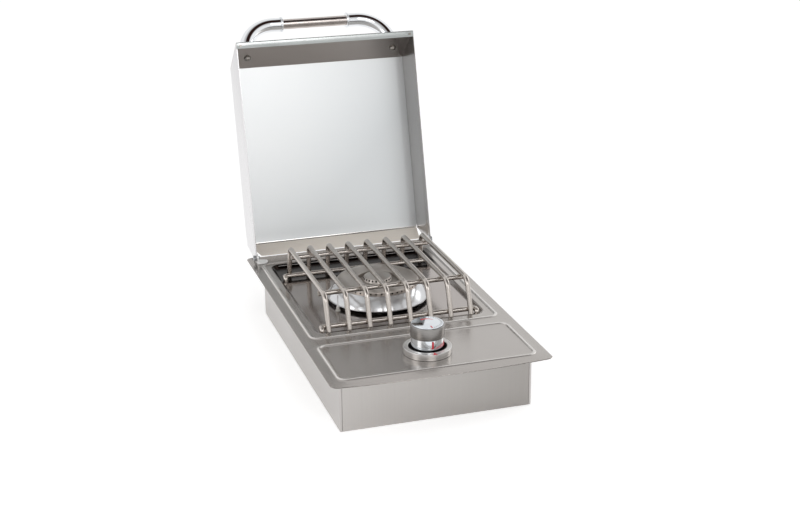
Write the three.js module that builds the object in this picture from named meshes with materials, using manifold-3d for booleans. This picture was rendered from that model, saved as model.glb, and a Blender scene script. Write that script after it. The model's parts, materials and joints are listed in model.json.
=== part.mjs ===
// Drop-in side burner: a counter plate with a box under it, a gas valve with a push-and-turn knob,
// a round burner in a shallow pan, a wire grate that lifts off and a lid that folds back on two pins.
// Millimetres, +Z up, the front towards -Y. The origin is the centre of the box's bottom face.
// The lid stands open.

import * as THREE from 'three';
import { mergeVertices } from 'three/addons/utils/BufferGeometryUtils.js';
import Module from 'manifold-3d';

const wasm = await Module();
wasm.setup();

// Shared clearances and counts
const gap = 0.3; // between pieces that touch
const sheet = 1.2; // stainless sheet
const overrun = 3; // how far a cutter runs past what it cuts
const weld = 0.0001; // points closer than this are one point
const largeRound = 36; // sides of a large turned piece
const mediumRound = 24;
const smallRound = 12;
const wireSides = 8;
const hexSides = 6;
const cornerSteps = 4;
const bendSteps = 5;

// Box; its width and length follow from the pan's
const boxHeight = 77.5;
const topFlange = 4; // turned in under the counter plate
const floorFlange = 12; // turned in over the bottom plate
const seamReturn = 3; // of a side sheet round the front corner
const seamFlange = 10; // of the front and rear sheets along the sides
const ventCount = 6;
const ventWidth = 6;
const ventLength = 60;
const ventPitch = 18;
const ventPlace = 70; // from the middle to the middle of a row of vents

// Counter plate
const sideOverhang = 19;
const frontOverhang = 32;
const rearOverhang = 42;
const plateCorner = 8;
const beadWidth = 8;
const beadHeight = 1.6;
const beadCorner = 11; // along the crest
const beadSideInset = 17.2; // crest to plate edge
const panelBeadFront = 19; // crest to the plate's front edge
const panelBeadDepth = 116;
const bridge = 26; // crest to crest between panel and pan
const panBeadRear = 38; // crest to the plate's rear edge

// Pan
const panWidth = 250;
const panLength = 287;
const panSideInset = 10.3; // from the bead's crest
const panFrontInset = 15;
const panRearInset = 9;
const panCorner = 17;
const panDepth = 5.3;
const panSlope = 6; // width of the sloped wall
const panHoleRadius = 70;

// Knob, bezel and valve; heights are from the counter plate's top
const knobPlace = 72; // axis to the plate's front edge
const bezelRadius = 33;
const bezelHeight = 9.6;
const bezelBore = 26;
const bezelTaper = 0.7;
const bezelFloor = 1.2;
const bezelChamfer = 1;
const stemHole = 8; // radius of the plate's and the bezel's holes
const knobRadius = 23;
const knobStep = 0.8; // the lower band is this much thinner
const knobHeight = 32.9;
const knobBottom = 8; // above the plate
const knobLowerBand = 16;
const knobChamfer = 0.9;
const capThickness = 1.2;
const capInset = 0.7;
const pointerWidth = 2.4;
const pointerHeight = 10;
const pointerDrop = 1; // its top below the lower band's
const pointerThickness = 0.8;
const push = 3.5; // travel of the knob
const stemRadius = 3.9;
const stemReach = 21; // into the knob
const stemBore = 0.3; // clearance round the stem
const spindleRadius = 2.9; // the stem's thin lower end
const screwSpacing = 30;
const screwRadius = 2;
const screwHeadRadius = 3.6;
const screwHeadHeight = 1.8;
const bracketWidth = 46;
const bracketDepth = 26;
const bracketThickness = 1.8;
const bonnetRadius = 9;
const bonnetHeight = 7.4;
const valveWidth = 26;
const valveDepth = 28;
const valveHeight = 24;
const valveBoreDepth = 18;
const plugRadius = 8.2;
const plugHeight = 7.7;
const plugFloor = 0.6; // from the plug's foot to the stem's end when pushed
const stemCollarRadius = 5.5;
const stemCollarHeight = 1.5;
const springWire = 0.45; // radius
const springTurns = 3.5;
const springSteps = 8;
const springSides = 5;

// Gas way
const jetRadius = 4;
const jetHex = 5.5;
const jetHexLength = 6;
const jetLength = 13;
const jetBore = 1;
const pipeRadius = 4;
const pipeSide = 25; // from the box's right side to the pipe
const pipeBend = 14;
const pipeDropPlace = 120; // from the valve to the pipe's step down
const pipeDrop = 60;
const inletHeight = 40;
const inletRadius = 8;
const inletBore = 4;
const inletShoulder = 11;
const inletShoulderLength = 10;
const inletReach = 14; // out of the rear panel
const nutRadius = 12.5;
const nutThickness = 5;

// Burner; heights are from the counter plate's top
const burnerPlaceShare = 0.432; // of the pan's length, from its front edge to the axis
const ringRadius = 60;
const ringHole = 31.3;
const ringTop = 24;
const ringHeight = 6.4;
const ringWall = 3;
const ringCrown = 2.5;
const ringChamfer = 1.5;
const ringPorts = 48;
const portPhaseShare = 0.5; // of the pitch, from the ports' start line to the first port
const portRadius = 1.3;
const portSides = 4;
const centreRadius = 22;
const centreTaper = 2; // of its wall, from foot to shoulder
const centreTop = 28.3;
const centreHeight = 5.9;
const centreDome = 0.8;
const centreCrown = 1.3;
const centrePorts = 24;
const centreSeat = 19;
const cupRadius = 56;
const cupWall = 3;
const cupDepth = 12;
const cupShoulder = 2;
const coneDepth = 16;
const throatRadius = 12;
const neckRadius = 17;
const neckFoot = 39; // below the plate
const dishRadius = 75;
const dishThickness = 1;
const dishRim = 0.6; // below the plate's top
const dishLip = 2;
const tubeRadius = 13;
const tubeBore = 10;
const tubeBell = 17;
const tubeBellLength = 16;
const tubeSwallow = 2; // the jet's tip stands this far inside the bell
const standWidth = 60;
const standDepth = 40;
const standFoot = 16;
const igniterAngle = THREE.MathUtils.degToRad(207);
const igniterRadius = 2.5;
const igniterClear = 4.5; // axis to the dish's rim
const igniterTop = 1;
const igniterDrop = 8; // below the pan floor
const igniterCollar = 3.8;
const igniterCollarHeight = 1.2;
const pinRadius = 1;
const pinTop = 20.5;
const pinReach = 11;
const pinBend = 3;

// Grate
const rodRadius = 3.65;
const rodCount = 8;
const rodSideInset = 20.35; // outer rod's axis to the pan's edge
const rodHeight = 45; // rod centre above the counter plate
const frontFootClear = 1.2; // from the foot of the pan's slope to the rod's foot
const frontLean = 19; // from the foot to the bend
const rearFootInset = 43;
const rearLean = 11;
const frontBend = 16;
const rearBend = 9;
const frontBarPlace = 26; // from the front bend to the upper cross bar
const rearBarPlace = 20;
const barEnd = 3.2; // the upper bars run this far past the outer rods
const lowBarHeight = 1; // top of the plate to the lower bars' centre
const hookReach = 9.5; // sideways past the outer rods
const hookFront = 8.5; // the front hooks' tips stand this far in front of their bar
const hookRear = 8;
const hookBend = 3.9;
const hookDepth = 3; // below the pan floor
const hookHoleClear = 0.9;

// Lid, in its own frame: lengths run from its rear edge to its front edge
const lidSideInset = 9.8; // to the plate's edge
const lidFrontPlace = 13; // its closed front edge behind the panel bead's crest
const lidHeight = 68.5;
const lidFrontSlope = 37.3;
const lidRearSlope = 20.8;
const lidRearDrop = 48.5; // the rear wall's depth
const lidRearFoot = 5.5;
const lidRearInset = 12.7; // from the lid's side to the rear wall's end
const lidReturn = 10.8;
const lidKneeHeight = 25.5;
const lidKneeInset = 4.5;
const lidHeel = 14;
const lidHeelCut = 2.5;
const rimGap = 1.4; // closed rim above the plate
const openAngle = THREE.MathUtils.degToRad(105.3);
const rivetRadius = 1.2;
const rivetHead = 2;
const rivetHeadHeight = 1;
const rivetInset = 6.2; // from the lid's side
const rivetRim = 6.5; // from the rim's front edge
const tabLength = 6.8;

// Hinges
const hingeFromRear = 27.8; // axis to the plate's rear edge
const hingeHeight = 9; // axis above the plate
const hingeInset = 4.5; // axis to the lid's rear edge
const earRadius = 6.2;
const earThickness = 2;
const footLength = 18;
const footWidth = 16.4;
const footBehind = 2.3; // the foot's middle behind the axis
const footThickness = 2;
const pinShaft = 2.3;
const pinHead = 4.4;
const pinHeadLength = 3.2;
const pinTail = 3;

// Handle
const handleInset = 23.7; // from the lid's side to an elbow's axis
const handleFromRim = 48.4; // along the front wall
const handleStand = 57;
const elbowRadius = 11;
const elbowBend = 50;
const elbowSides = 16;
const elbowSteps = 8;
const elbowFootRadius = 12.5;
const elbowFootHeight = 4;
const collarRadius = 12.5;
const collarWidth = 3.5;
const collarPlace = 52.4; // from the middle
const barRadius = 8;
const boltRadius = 2.5;
const boltReach = 9;
const boltHead = 5.5;
const boltDome = 4;
const boltRimShare = 0.25;
const boltDomeShare = 0.75;

// Places worked out from the sizes
const beadHalf = panWidth / 2 + panSideInset;
const plateHalf = beadHalf + beadSideInset;
const panelDepth = panelBeadFront + panelBeadDepth + bridge;
const plateLength = panelDepth + panFrontInset + panLength + panRearInset + panBeadRear;
const boxWidth = 2 * (plateHalf - sideOverhang);
const boxLength = plateLength - frontOverhang - rearOverhang;
const plateTop = boxHeight + gap + sheet;
const plateUnder = boxHeight + gap;
const plateFront = -boxLength / 2 - frontOverhang;
const plateRear = boxLength / 2 + rearOverhang;
const panelBead = {
  half: beadHalf,
  front: plateFront + panelBeadFront,
  rear: plateFront + panelBeadFront + panelBeadDepth,
  corner: beadCorner,
};
const panBead = {
  half: beadHalf,
  front: panelBead.rear + bridge,
  rear: plateRear - panBeadRear,
  corner: beadCorner,
};
const panEdge = {
  half: panWidth / 2,
  front: panBead.front + panFrontInset,
  rear: panBead.rear - panRearInset,
  corner: panCorner,
};
const panFloor = plateTop - panDepth;
const knobY = plateFront + knobPlace;
const burnerY = panEdge.front + panLength * burnerPlaceShare;
const hingeY = plateRear - hingeFromRear;
const hingeZ = plateTop + hingeHeight;
const lidHalf = plateHalf - lidSideInset;
const lidLength = hingeY + hingeInset - panelBead.rear - lidFrontPlace;
const frontTilt = Math.atan2(lidHeight, lidFrontSlope);

const finishes = {
  plateSteel: { color: 0xb4b0ac, roughness: 0.34, metalness: 0.9 },
  boxSteel: { color: 0xc2c0c2, roughness: 0.38, metalness: 0.85 },
  lidSteel: { color: 0xd0d3d5, roughness: 0.32, metalness: 0.85 },
  wire: { color: 0xa8a29c, roughness: 0.36, metalness: 0.9 },
  chrome: { color: 0xe2e5e8, roughness: 0.08, metalness: 1 },
  satin: { color: 0xb0a49e, roughness: 0.3, metalness: 0.95 },
  cast: { color: 0x9a938c, roughness: 0.5, metalness: 0.8 },
  brass: { color: 0xb08d4a, roughness: 0.35, metalness: 0.9 },
  zinc: { color: 0xa9acae, roughness: 0.45, metalness: 0.8 },
  ceramic: { color: 0xeeece6, roughness: 0.5, metalness: 0 },
  pointer: { color: 0xb0202a, roughness: 0.4, metalness: 0 },
};

// Turns a geometry into a closed solid with its faces pointing out.
function toSolid(geometry) {
  const bare = new THREE.BufferGeometry();
  bare.setAttribute('position', geometry.getAttribute('position'));
  bare.setIndex(geometry.getIndex());
  const merged = mergeVertices(bare, weld);
  const places = merged.getAttribute('position');
  const corner = [new THREE.Vector3(), new THREE.Vector3(), new THREE.Vector3()];
  const kept = [];
  let volume = 0;
  const index = merged.getIndex().array;
  for (let at = 0; at < index.length; at += 3) {
    const [a, b, c] = [index[at], index[at + 1], index[at + 2]];
    if (a === b || b === c || c === a) continue;
    kept.push([a, b, c]);
    [a, b, c].forEach((vertex, side) => corner[side].fromBufferAttribute(places, vertex));
    volume += corner[0].dot(corner[1].cross(corner[2]));
  }
  const facing = volume < 0 ? kept.map(([a, b, c]) => [a, c, b]) : kept;
  const mesh = new wasm.Mesh({
    numProp: 3,
    vertProperties: new Float32Array(places.array),
    triVerts: new Uint32Array(facing.flat()),
  });
  mesh.merge();
  return new wasm.Manifold(mesh);
}

function toGeometry(solid) {
  const mesh = solid.getMesh();
  const geometry = new THREE.BufferGeometry();
  geometry.setAttribute('position', new THREE.BufferAttribute(new Float32Array(mesh.vertProperties), 3));
  geometry.setIndex(new THREE.BufferAttribute(new Uint32Array(mesh.triVerts), 1));
  geometry.computeVertexNormals();
  return geometry;
}

function joined(solids) {
  return solids.reduce((whole, next) => whole.add(next));
}

function without(solid, cutters) {
  return cutters.reduce((rest, cutter) => rest.subtract(cutter), solid);
}

function block(x, y, z) {
  const geometry = new THREE.BoxGeometry(x[1] - x[0], y[1] - y[0], z[1] - z[0]);
  return toSolid(geometry.translate((x[0] + x[1]) / 2, (y[0] + y[1]) / 2, (z[0] + z[1]) / 2));
}

const toward = {
  x: new THREE.Matrix4().makeBasis(
    new THREE.Vector3(0, 1, 0), new THREE.Vector3(0, 0, 1), new THREE.Vector3(1, 0, 0)),
  y: new THREE.Matrix4().makeBasis(
    new THREE.Vector3(0, 0, 1), new THREE.Vector3(1, 0, 0), new THREE.Vector3(0, 1, 0)),
  z: new THREE.Matrix4(),
};

// A closed outline, [a, b] points in the plane across the axis, drawn out between two places on it.
function prism(axis, outline, from, to) {
  const shape = new THREE.Shape(outline.map(([a, b]) => new THREE.Vector2(a, b)));
  const geometry = new THREE.ExtrudeGeometry(shape, { depth: to - from, bevelEnabled: false });
  return toSolid(geometry.translate(0, 0, from).applyMatrix4(toward[axis]));
}

function circle(radius, sides, a = 0, b = 0) {
  return Array.from({ length: sides }, (_, side) => {
    const angle = (side / sides) * Math.PI * 2;
    return [a + Math.cos(angle) * radius, b + Math.sin(angle) * radius];
  });
}

// A rod, pin or hole: its axis runs along x, y or z through the point [a, b] across it.
function rod(axis, radius, sides, [a, b], from, to) {
  return prism(axis, circle(radius, sides, a, b), from, to);
}

// A turned piece about a vertical axis, from its closed [radius, height] outline.
function turned(outline, sides, x = 0, y = 0, z = 0) {
  const ring = [...outline, outline[0]].map(([radius, height]) => new THREE.Vector2(radius, height));
  const geometry = new THREE.LatheGeometry(ring, sides).rotateX(Math.PI / 2);
  return toSolid(geometry.translate(x, y, z));
}

// The rounded rectangle of an area, moved out by offset, as points at one height.
function areaRing(area, offset, height) {
  const corner = area.corner + offset;
  const across = area.half - area.corner;
  const centres = [
    [across, area.rear - area.corner],
    [-across, area.rear - area.corner],
    [-across, area.front + area.corner],
    [across, area.front + area.corner],
  ];
  return centres.flatMap(([x, y], quarter) => Array.from({ length: cornerSteps + 1 }, (_, step) => {
    const angle = (quarter + step / cornerSteps) * (Math.PI / 2);
    return new THREE.Vector3(x + Math.cos(angle) * corner, y + Math.sin(angle) * corner, height);
  }));
}

// Joins rings of equal point counts. A hoop closes on its first ring, else the two ends are capped.
function loft(rings, hoop) {
  const count = rings[0].length;
  const points = rings.flat();
  const faces = [];
  const spans = hoop ? rings.length : rings.length - 1;
  for (let ring = 0; ring < spans; ring += 1) {
    const low = ring * count;
    const high = ((ring + 1) % rings.length) * count;
    for (let side = 0; side < count; side += 1) {
      const next = (side + 1) % count;
      faces.push(low + side, low + next, high + next, low + side, high + next, high + side);
    }
  }
  if (!hoop) {
    const last = (rings.length - 1) * count;
    for (let side = 1; side < count - 1; side += 1) {
      faces.push(0, side + 1, side, last, last + side, last + side + 1);
    }
  }
  const geometry = new THREE.BufferGeometry().setFromPoints(points);
  geometry.setIndex(faces);
  return toSolid(geometry);
}

// A curve through stations whose places and directions are known.
class StationCurve extends THREE.Curve {
  constructor(stations) {
    super();
    this.stations = stations;
    this.spans = stations.length - 1;
  }

  getUtoTmapping(share) {
    return share;
  }

  getPoint(share, target = new THREE.Vector3()) {
    const index = Math.min(Math.floor(share * this.spans), this.spans - 1);
    const [here, next] = [this.stations[index], this.stations[index + 1]];
    return target.lerpVectors(here.place, next.place, share * this.spans - index);
  }

  getTangent(share, target = new THREE.Vector3()) {
    return target.copy(this.stations[Math.round(share * this.spans)].direction);
  }
}

// The stations of a wire that runs straight between corners and bends round each at its radius.
function wireStations(corners, radii, steps) {
  const last = corners.length - 1;
  const heading = corners.slice(0, last).map((corner, at) => corners[at + 1].clone().sub(corner).normalize());
  const stations = [{ place: corners[0], direction: heading[0] }];
  for (let at = 1; at < last; at += 1) {
    const [before, after] = [heading[at - 1], heading[at]];
    const turn = before.angleTo(after);
    const radius = radii[at - 1];
    const inward = after.clone().sub(before).normalize();
    const centre = corners[at].clone().addScaledVector(inward, radius / Math.cos(turn / 2));
    const side = new THREE.Vector3().crossVectors(before, after).normalize();
    const start = corners[at].clone().addScaledVector(before, -radius * Math.tan(turn / 2)).sub(centre);
    for (let step = 0; step <= steps; step += 1) {
      const angle = (turn * step) / steps;
      stations.push({
        place: start.clone().applyAxisAngle(side, angle).add(centre),
        direction: before.clone().applyAxisAngle(side, angle),
      });
    }
  }
  stations.push({ place: corners[last], direction: heading[last - 1] });
  return stations;
}

function wire(corners, radii, radius, sides = wireSides, steps = bendSteps) {
  const stations = wireStations(corners.map((corner) => new THREE.Vector3(...corner)), radii, steps);
  const shape = new THREE.Shape(circle(radius, sides).map(([a, b]) => new THREE.Vector2(a, b)));
  const path = new StationCurve(stations);
  return toSolid(new THREE.ExtrudeGeometry(shape, {
    steps: stations.length - 1, extrudePath: path, bevelEnabled: false,
  }));
}

// A strip of sheet that follows a line of [a, b] points: its outline, on the line's left side.
function sheetOutline(line, thickness) {
  const last = line.length - 1;
  const normal = (at) => {
    const [run, rise] = [line[at + 1][0] - line[at][0], line[at + 1][1] - line[at][1]];
    const length = Math.hypot(run, rise);
    return [-rise / length, run / length];
  };
  const inner = line.map(([a, b], at) => {
    const before = normal(Math.max(at - 1, 0));
    const after = normal(Math.min(at, last - 1));
    const reach = thickness / (1 + before[0] * after[0] + before[1] * after[1]);
    return [a + (before[0] + after[0]) * reach, b + (before[1] + after[1]) * reach];
  });
  return [...line, ...inner.reverse()];
}

const model = new THREE.Group();
const lid = new THREE.Group();
const handle = new THREE.Group();

function addPart(name, solid, finish, parent = model) {
  const material = new THREE.MeshStandardMaterial({ ...finishes[finish], flatShading: true });
  const mesh = new THREE.Mesh(toGeometry(solid), material);
  mesh.name = name;
  parent.add(mesh);
}

const sides = [['left', -1], ['right', 1]];

// Counter plate: a flat sheet with two pressed beads, the sunken pan and its holes.
const beadShares = [[-1, 0], [-0.7, 0.55], [-0.35, 0.9], [0, 1], [0.35, 0.9], [0.7, 0.55], [1, 0]];
const panWallShares = [[0, 0], [0.2, 0.35], [0.5, 0.75], [1, 1]];

function beadRidge(area, halfWidth, base, crest, root) {
  const rings = beadShares.map(([across, up]) => areaRing(area, across * halfWidth, base + up * crest));
  rings.push(areaRing(area, halfWidth, root), areaRing(area, -halfWidth, root));
  return loft(rings, true);
}

function panHollow(outset, drop, mouth) {
  const rings = panWallShares.map(
    ([inward, down]) => areaRing(panEdge, outset - inward * panSlope, plateTop - drop - down * panDepth));
  return loft([areaRing(panEdge, outset, mouth), ...rings].reverse(), false);
}

function hookTips() {
  const tips = [];
  for (const [, side] of sides) {
    tips.push([side * hookX, frontBarY - hookFront], [side * hookX, rearBarY - hookRear]);
  }
  return tips;
}

function addCounterPlate() {
  const outline = { half: plateHalf, front: plateFront, rear: plateRear, corner: plateCorner };
  const flat = loft([areaRing(outline, 0, plateUnder), areaRing(outline, 0, plateTop)], false);
  const root = (plateUnder + plateTop) / 2;
  const ridges = [panelBead, panBead].map(
    (area) => beadRidge(area, beadWidth / 2, plateTop, beadHeight, root));
  const grooves = [panelBead, panBead].map(
    (area) => beadRidge(area, beadWidth / 2 - sheet, plateUnder, beadHeight, plateUnder - overrun));
  const screws = valveScrewPlaces.map(
    (place) => rod('z', screwRadius + gap, smallRound, place, plateUnder - overrun, plateTop + overrun));
  const hooks = hookTips().map(
    (place) => rod('z', rodRadius + hookHoleClear, smallRound, place, panFloor - sheet - overrun, plateTop));
  const plate = without(joined([flat, ...ridges, panHollow(sheet, sheet, root)]), [
    panHollow(0, 0, plateTop + beadHeight),
    ...grooves,
    ...screws,
    ...hooks,
    rod('z', stemHole, mediumRound, [0, knobY], plateUnder - overrun, plateTop + overrun),
    rod('z', panHoleRadius, largeRound, [0, burnerY], panFloor - sheet - overrun, plateTop),
    rod('z', igniterRadius + gap, smallRound, igniterPlace, panFloor - sheet - overrun, plateTop),
  ]);
  addPart('counter_plate', plate, 'plateSteel');
}

// Box: two side channels, a front and a rear panel between them and a bottom plate.
function addBoxSides() {
  const half = boxWidth / 2;
  const end = boxLength / 2;
  for (const [name, side] of sides) {
    const across = (from, to) => (side > 0 ? [from, to] : [-to, -from]);
    const wall = block(across(half - sheet, half), [-end, end], [0, boxHeight]);
    const upper = block(
      across(half - topFlange, half), [topFlange - end, end - topFlange], [boxHeight - sheet, boxHeight]);
    const lower = block(
      across(half - floorFlange, half), [floorFlange + gap - end, end - floorFlange - gap],
      [sheet + gap, sheet + gap + sheet]);
    const corner = block(across(half - seamReturn, half), [-end, sheet - end], [0, boxHeight]);
    addPart(`box_${name}`, joined([wall, upper, lower, corner]), 'boxSteel');
  }
}

function endPanel(half, outer, inward) {
  const along = (from, to) => [outer + inward * from, outer + inward * to].sort((a, b) => a - b);
  const wall = block([-half, half], along(0, sheet), [0, boxHeight]);
  const upperHalf = boxWidth / 2 - topFlange - gap;
  const upper = block([-upperHalf, upperHalf], along(0, topFlange), [boxHeight - sheet, boxHeight]);
  const lowerHalf = Math.min(half, boxWidth / 2 - sheet - gap) - sheet;
  const lower = block([-lowerHalf, lowerHalf], along(0, floorFlange), [sheet + gap, sheet + gap + sheet]);
  const flanges = sides.map(([, side]) => block(
    [side * half, side * (half - sheet)].sort((a, b) => a - b), along(0, seamFlange),
    [sheet + gap + sheet + gap, boxHeight - sheet - gap]));
  return joined([wall, upper, lower, ...flanges]);
}

function addBoxPanels() {
  const front = endPanel(boxWidth / 2 - seamReturn - gap, -boxLength / 2, 1);
  addPart('box_front', front, 'boxSteel');
  const rear = endPanel(boxWidth / 2 - sheet - gap, boxLength / 2, -1);
  const hole = rod('y', inletRadius + gap, mediumRound, [inletHeight, pipeX],
    boxLength / 2 - sheet - overrun, boxLength / 2 + overrun);
  addPart('box_rear', without(rear, [hole]), 'boxSteel');
}

function addBoxBottom() {
  const half = boxWidth / 2 - sheet - gap;
  const end = boxLength / 2 - sheet - gap;
  const vents = [];
  for (const row of [burnerY - ventPlace, burnerY + ventPlace]) {
    for (let vent = 0; vent < ventCount; vent += 1) {
      const x = (vent - (ventCount - 1) / 2) * ventPitch;
      vents.push(block(
        [x - ventWidth / 2, x + ventWidth / 2], [row - ventLength / 2, row + ventLength / 2],
        [-overrun, sheet + overrun]));
    }
  }
  addPart('box_bottom', without(block([-half, half], [-end, end], [0, sheet]), vents), 'boxSteel');
}

// Valve, from the plate down: screws, bracket, bonnet, stem, spring, plug and body.
const bezelUnder = plateTop + gap;
const bezelInside = bezelUnder + bezelFloor;
const bracketTop = plateUnder - gap;
const bonnetTop = bracketTop - bracketThickness - gap;
const bonnetUnder = bonnetTop - bonnetHeight;
const valveTop = bonnetUnder - gap;
const valveFoot = valveTop - valveHeight;
const boreFoot = valveTop - valveBoreDepth;
const plugFoot = boreFoot + gap;
const plugTop = plugFoot + plugHeight;
const collarTop = bonnetUnder - gap;
const collarUnder = collarTop - stemCollarHeight;
const stemFoot = plugFoot + plugFloor + push;
const knobUnder = plateTop + knobBottom;
const knobTop = knobUnder + knobHeight;
const stemTop = knobUnder + stemReach;
const gasHeight = boreFoot + plugHeight / 2;
const pipeX = boxWidth / 2 - pipeSide;
const valveScrewPlaces = [[-screwSpacing / 2, knobY], [screwSpacing / 2, knobY]];

function addBezel() {
  const foot = bezelRadius - bezelTaper;
  const rim = bezelUnder + bezelHeight;
  const outline = [
    [stemHole, bezelUnder], [foot, bezelUnder], [bezelRadius, rim - bezelChamfer],
    [bezelRadius - bezelChamfer, rim], [bezelBore + bezelChamfer, rim], [bezelBore, rim - bezelChamfer],
    [bezelBore, bezelInside], [stemHole, bezelInside],
  ];
  const holes = valveScrewPlaces.map(
    (place) => rod('z', screwRadius + gap, smallRound, place, bezelUnder - overrun, bezelInside + overrun));
  addPart('knob_bezel', without(turned(outline, largeRound, 0, knobY), holes), 'satin');
}

function addKnob() {
  const lower = knobRadius - knobStep;
  const band = knobUnder + knobLowerBand;
  const body = turned([
    [0, knobUnder], [lower, knobUnder], [lower, band], [knobRadius, band],
    [knobRadius, knobTop - knobChamfer], [knobRadius - knobChamfer, knobTop], [0, knobTop],
  ], largeRound, 0, knobY);
  const bore = rod('z', stemRadius + stemBore, smallRound, [0, knobY], knobUnder - overrun, stemTop + gap);
  addPart('knob_body', without(body, [bore]), 'satin');
  const capFoot = knobTop + gap;
  const disc = knobRadius - knobChamfer - capInset;
  const cap = turned([
    [0, capFoot], [disc, capFoot], [disc, capFoot + capThickness / 2],
    [disc - capThickness / 2, capFoot + capThickness], [0, capFoot + capThickness],
  ], largeRound, 0, knobY);
  addPart('knob_cap', cap, 'chrome');
  const face = knobY - lower - gap;
  const pointerTop = band - pointerDrop;
  const pointer = block(
    [-pointerWidth / 2, pointerWidth / 2], [face - pointerThickness, face],
    [pointerTop - pointerHeight, pointerTop]);
  addPart('knob_pointer', pointer, 'pointer');
}

function addValve() {
  const round = (radius, sidesCount, from, to) => rod('z', radius, sidesCount, [0, knobY], from, to);
  for (const [name, place] of [['left', valveScrewPlaces[0]], ['right', valveScrewPlaces[1]]]) {
    const head = rod('z', screwHeadRadius, smallRound, place,
      bezelInside + gap, bezelInside + gap + screwHeadHeight);
    const shank = rod('z', screwRadius, smallRound, place,
      bracketTop - bracketThickness - gap, bezelInside + gap + screwHeadHeight / 2);
    addPart(`valve_screw_${name}`, joined([head, shank]), 'zinc');
  }
  const bracket = without(
    block([-bracketWidth / 2, bracketWidth / 2], [knobY - bracketDepth / 2, knobY + bracketDepth / 2],
      [bracketTop - bracketThickness, bracketTop]),
    [
      round(stemRadius + stemBore, smallRound, bracketTop - bracketThickness - overrun, bracketTop + overrun),
      ...valveScrewPlaces.map((place) => rod('z', screwRadius + gap, smallRound, place,
        bracketTop - bracketThickness - overrun, bracketTop + overrun)),
    ]);
  addPart('valve_bracket', bracket, 'zinc');
  const bonnet = without(round(bonnetRadius, mediumRound, bonnetUnder, bonnetTop), [
    round(stemRadius + stemBore, smallRound, bonnetUnder - overrun, bonnetTop + overrun),
  ]);
  addPart('valve_bonnet', bonnet, 'brass');
  const stem = joined([
    round(stemRadius, smallRound, collarTop - stemCollarHeight / 2, stemTop),
    round(stemCollarRadius, smallRound, collarUnder, collarTop),
    round(spindleRadius, smallRound, stemFoot, collarTop),
  ]);
  addPart('valve_stem', stem, 'zinc');
  const plug = without(round(plugRadius, mediumRound, plugFoot, plugTop), [
    round(spindleRadius + stemBore, smallRound, plugFoot - overrun, plugTop + overrun),
  ]);
  addPart('valve_plug', plug, 'brass');
  const casting = block(
    [-valveWidth / 2, valveWidth / 2], [knobY - valveDepth / 2, knobY + valveDepth / 2],
    [valveFoot, valveTop]);
  const body = without(casting, [
    round(plugRadius + gap, mediumRound, boreFoot, valveTop + overrun),
    rod('y', jetBore, smallRound, [gasHeight, 0], knobY, knobY + valveDepth / 2 + overrun),
    rod('x', jetBore, smallRound, [knobY, gasHeight], 0, valveWidth / 2 + overrun),
  ]);
  addPart('valve_body', body, 'brass');
}

function addSpring() {
  const low = plugTop + gap + springWire;
  const high = collarUnder - gap - springWire;
  const coil = spindleRadius + gap + springWire + gap;
  const turns = springTurns * springSteps;
  const stations = Array.from({ length: turns + 1 }, (_, step) => {
    const angle = (step / springSteps) * Math.PI * 2;
    const rise = (high - low) / (springTurns * Math.PI * 2);
    return {
      place: new THREE.Vector3(
        Math.cos(angle) * coil, knobY + Math.sin(angle) * coil, low + rise * angle),
      direction: new THREE.Vector3(-Math.sin(angle) * coil, Math.cos(angle) * coil, rise).normalize(),
    };
  });
  const shape = new THREE.Shape(circle(springWire, springSides).map(([a, b]) => new THREE.Vector2(a, b)));
  const spring = toSolid(new THREE.ExtrudeGeometry(shape, {
    steps: turns, extrudePath: new StationCurve(stations), bevelEnabled: false,
  }));
  addPart('valve_spring', spring, 'zinc');
}

// Gas way: the jet behind the valve, and the pipe along the right side to the inlet in the rear panel.
const jetRear = knobY + valveDepth / 2 + gap + jetLength;

function addGasWay() {
  const jetFront = knobY + valveDepth / 2 + gap;
  const jet = without(joined([
    prism('y', circle(jetHex, hexSides, gasHeight, 0), jetFront, jetFront + jetHexLength),
    rod('y', jetRadius, smallRound, [gasHeight, 0], jetFront + jetHexLength / 2, jetRear),
  ]), [rod('y', jetBore, smallRound, [gasHeight, 0], jetFront - overrun, jetRear + overrun)]);
  addPart('gas_jet', jet, 'brass');
  const shoulderFront = boxLength / 2 - sheet - gap - inletShoulderLength;
  const pipe = wire(
    [[valveWidth / 2 + gap, knobY, gasHeight], [pipeX, knobY, gasHeight],
      [pipeX, knobY + pipeDropPlace, gasHeight], [pipeX, knobY + pipeDropPlace + pipeDrop, inletHeight],
      [pipeX, shoulderFront - gap, inletHeight]],
    [pipeBend, pipeBend, pipeBend], pipeRadius, wireSides);
  addPart('gas_pipe', pipe, 'satin');
  const inlet = without(joined([
    prism('y', circle(inletShoulder, hexSides, inletHeight, pipeX), shoulderFront,
      shoulderFront + inletShoulderLength),
    rod('y', inletRadius, mediumRound, [inletHeight, pipeX], shoulderFront, boxLength / 2 + inletReach),
  ]), [rod('y', inletBore, smallRound, [inletHeight, pipeX], shoulderFront - overrun,
    boxLength / 2 + inletReach + overrun)]);
  addPart('gas_inlet', inlet, 'brass');
  const nut = without(
    prism('y', circle(nutRadius, hexSides, inletHeight, pipeX), boxLength / 2 + gap,
      boxLength / 2 + gap + nutThickness),
    [rod('y', inletRadius + gap, mediumRound, [inletHeight, pipeX], boxLength / 2 - overrun,
      boxLength / 2 + nutThickness + overrun)]);
  addPart('inlet_nut', nut, 'brass');
}

// Burner, from the stand up: body with mixing tube, dish, ring cap and centre cap.
const ringUnder = plateTop + ringTop - ringHeight;
const dishSeat = ringUnder - gap - dishThickness;
const cupTop = ringUnder - gap;
const cupFoot = cupTop - cupDepth;
const neckUnder = plateTop - neckFoot;
const hubTop = plateTop + centreTop - centreHeight - gap;
const tubeY = jetRear - tubeSwallow;

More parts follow.
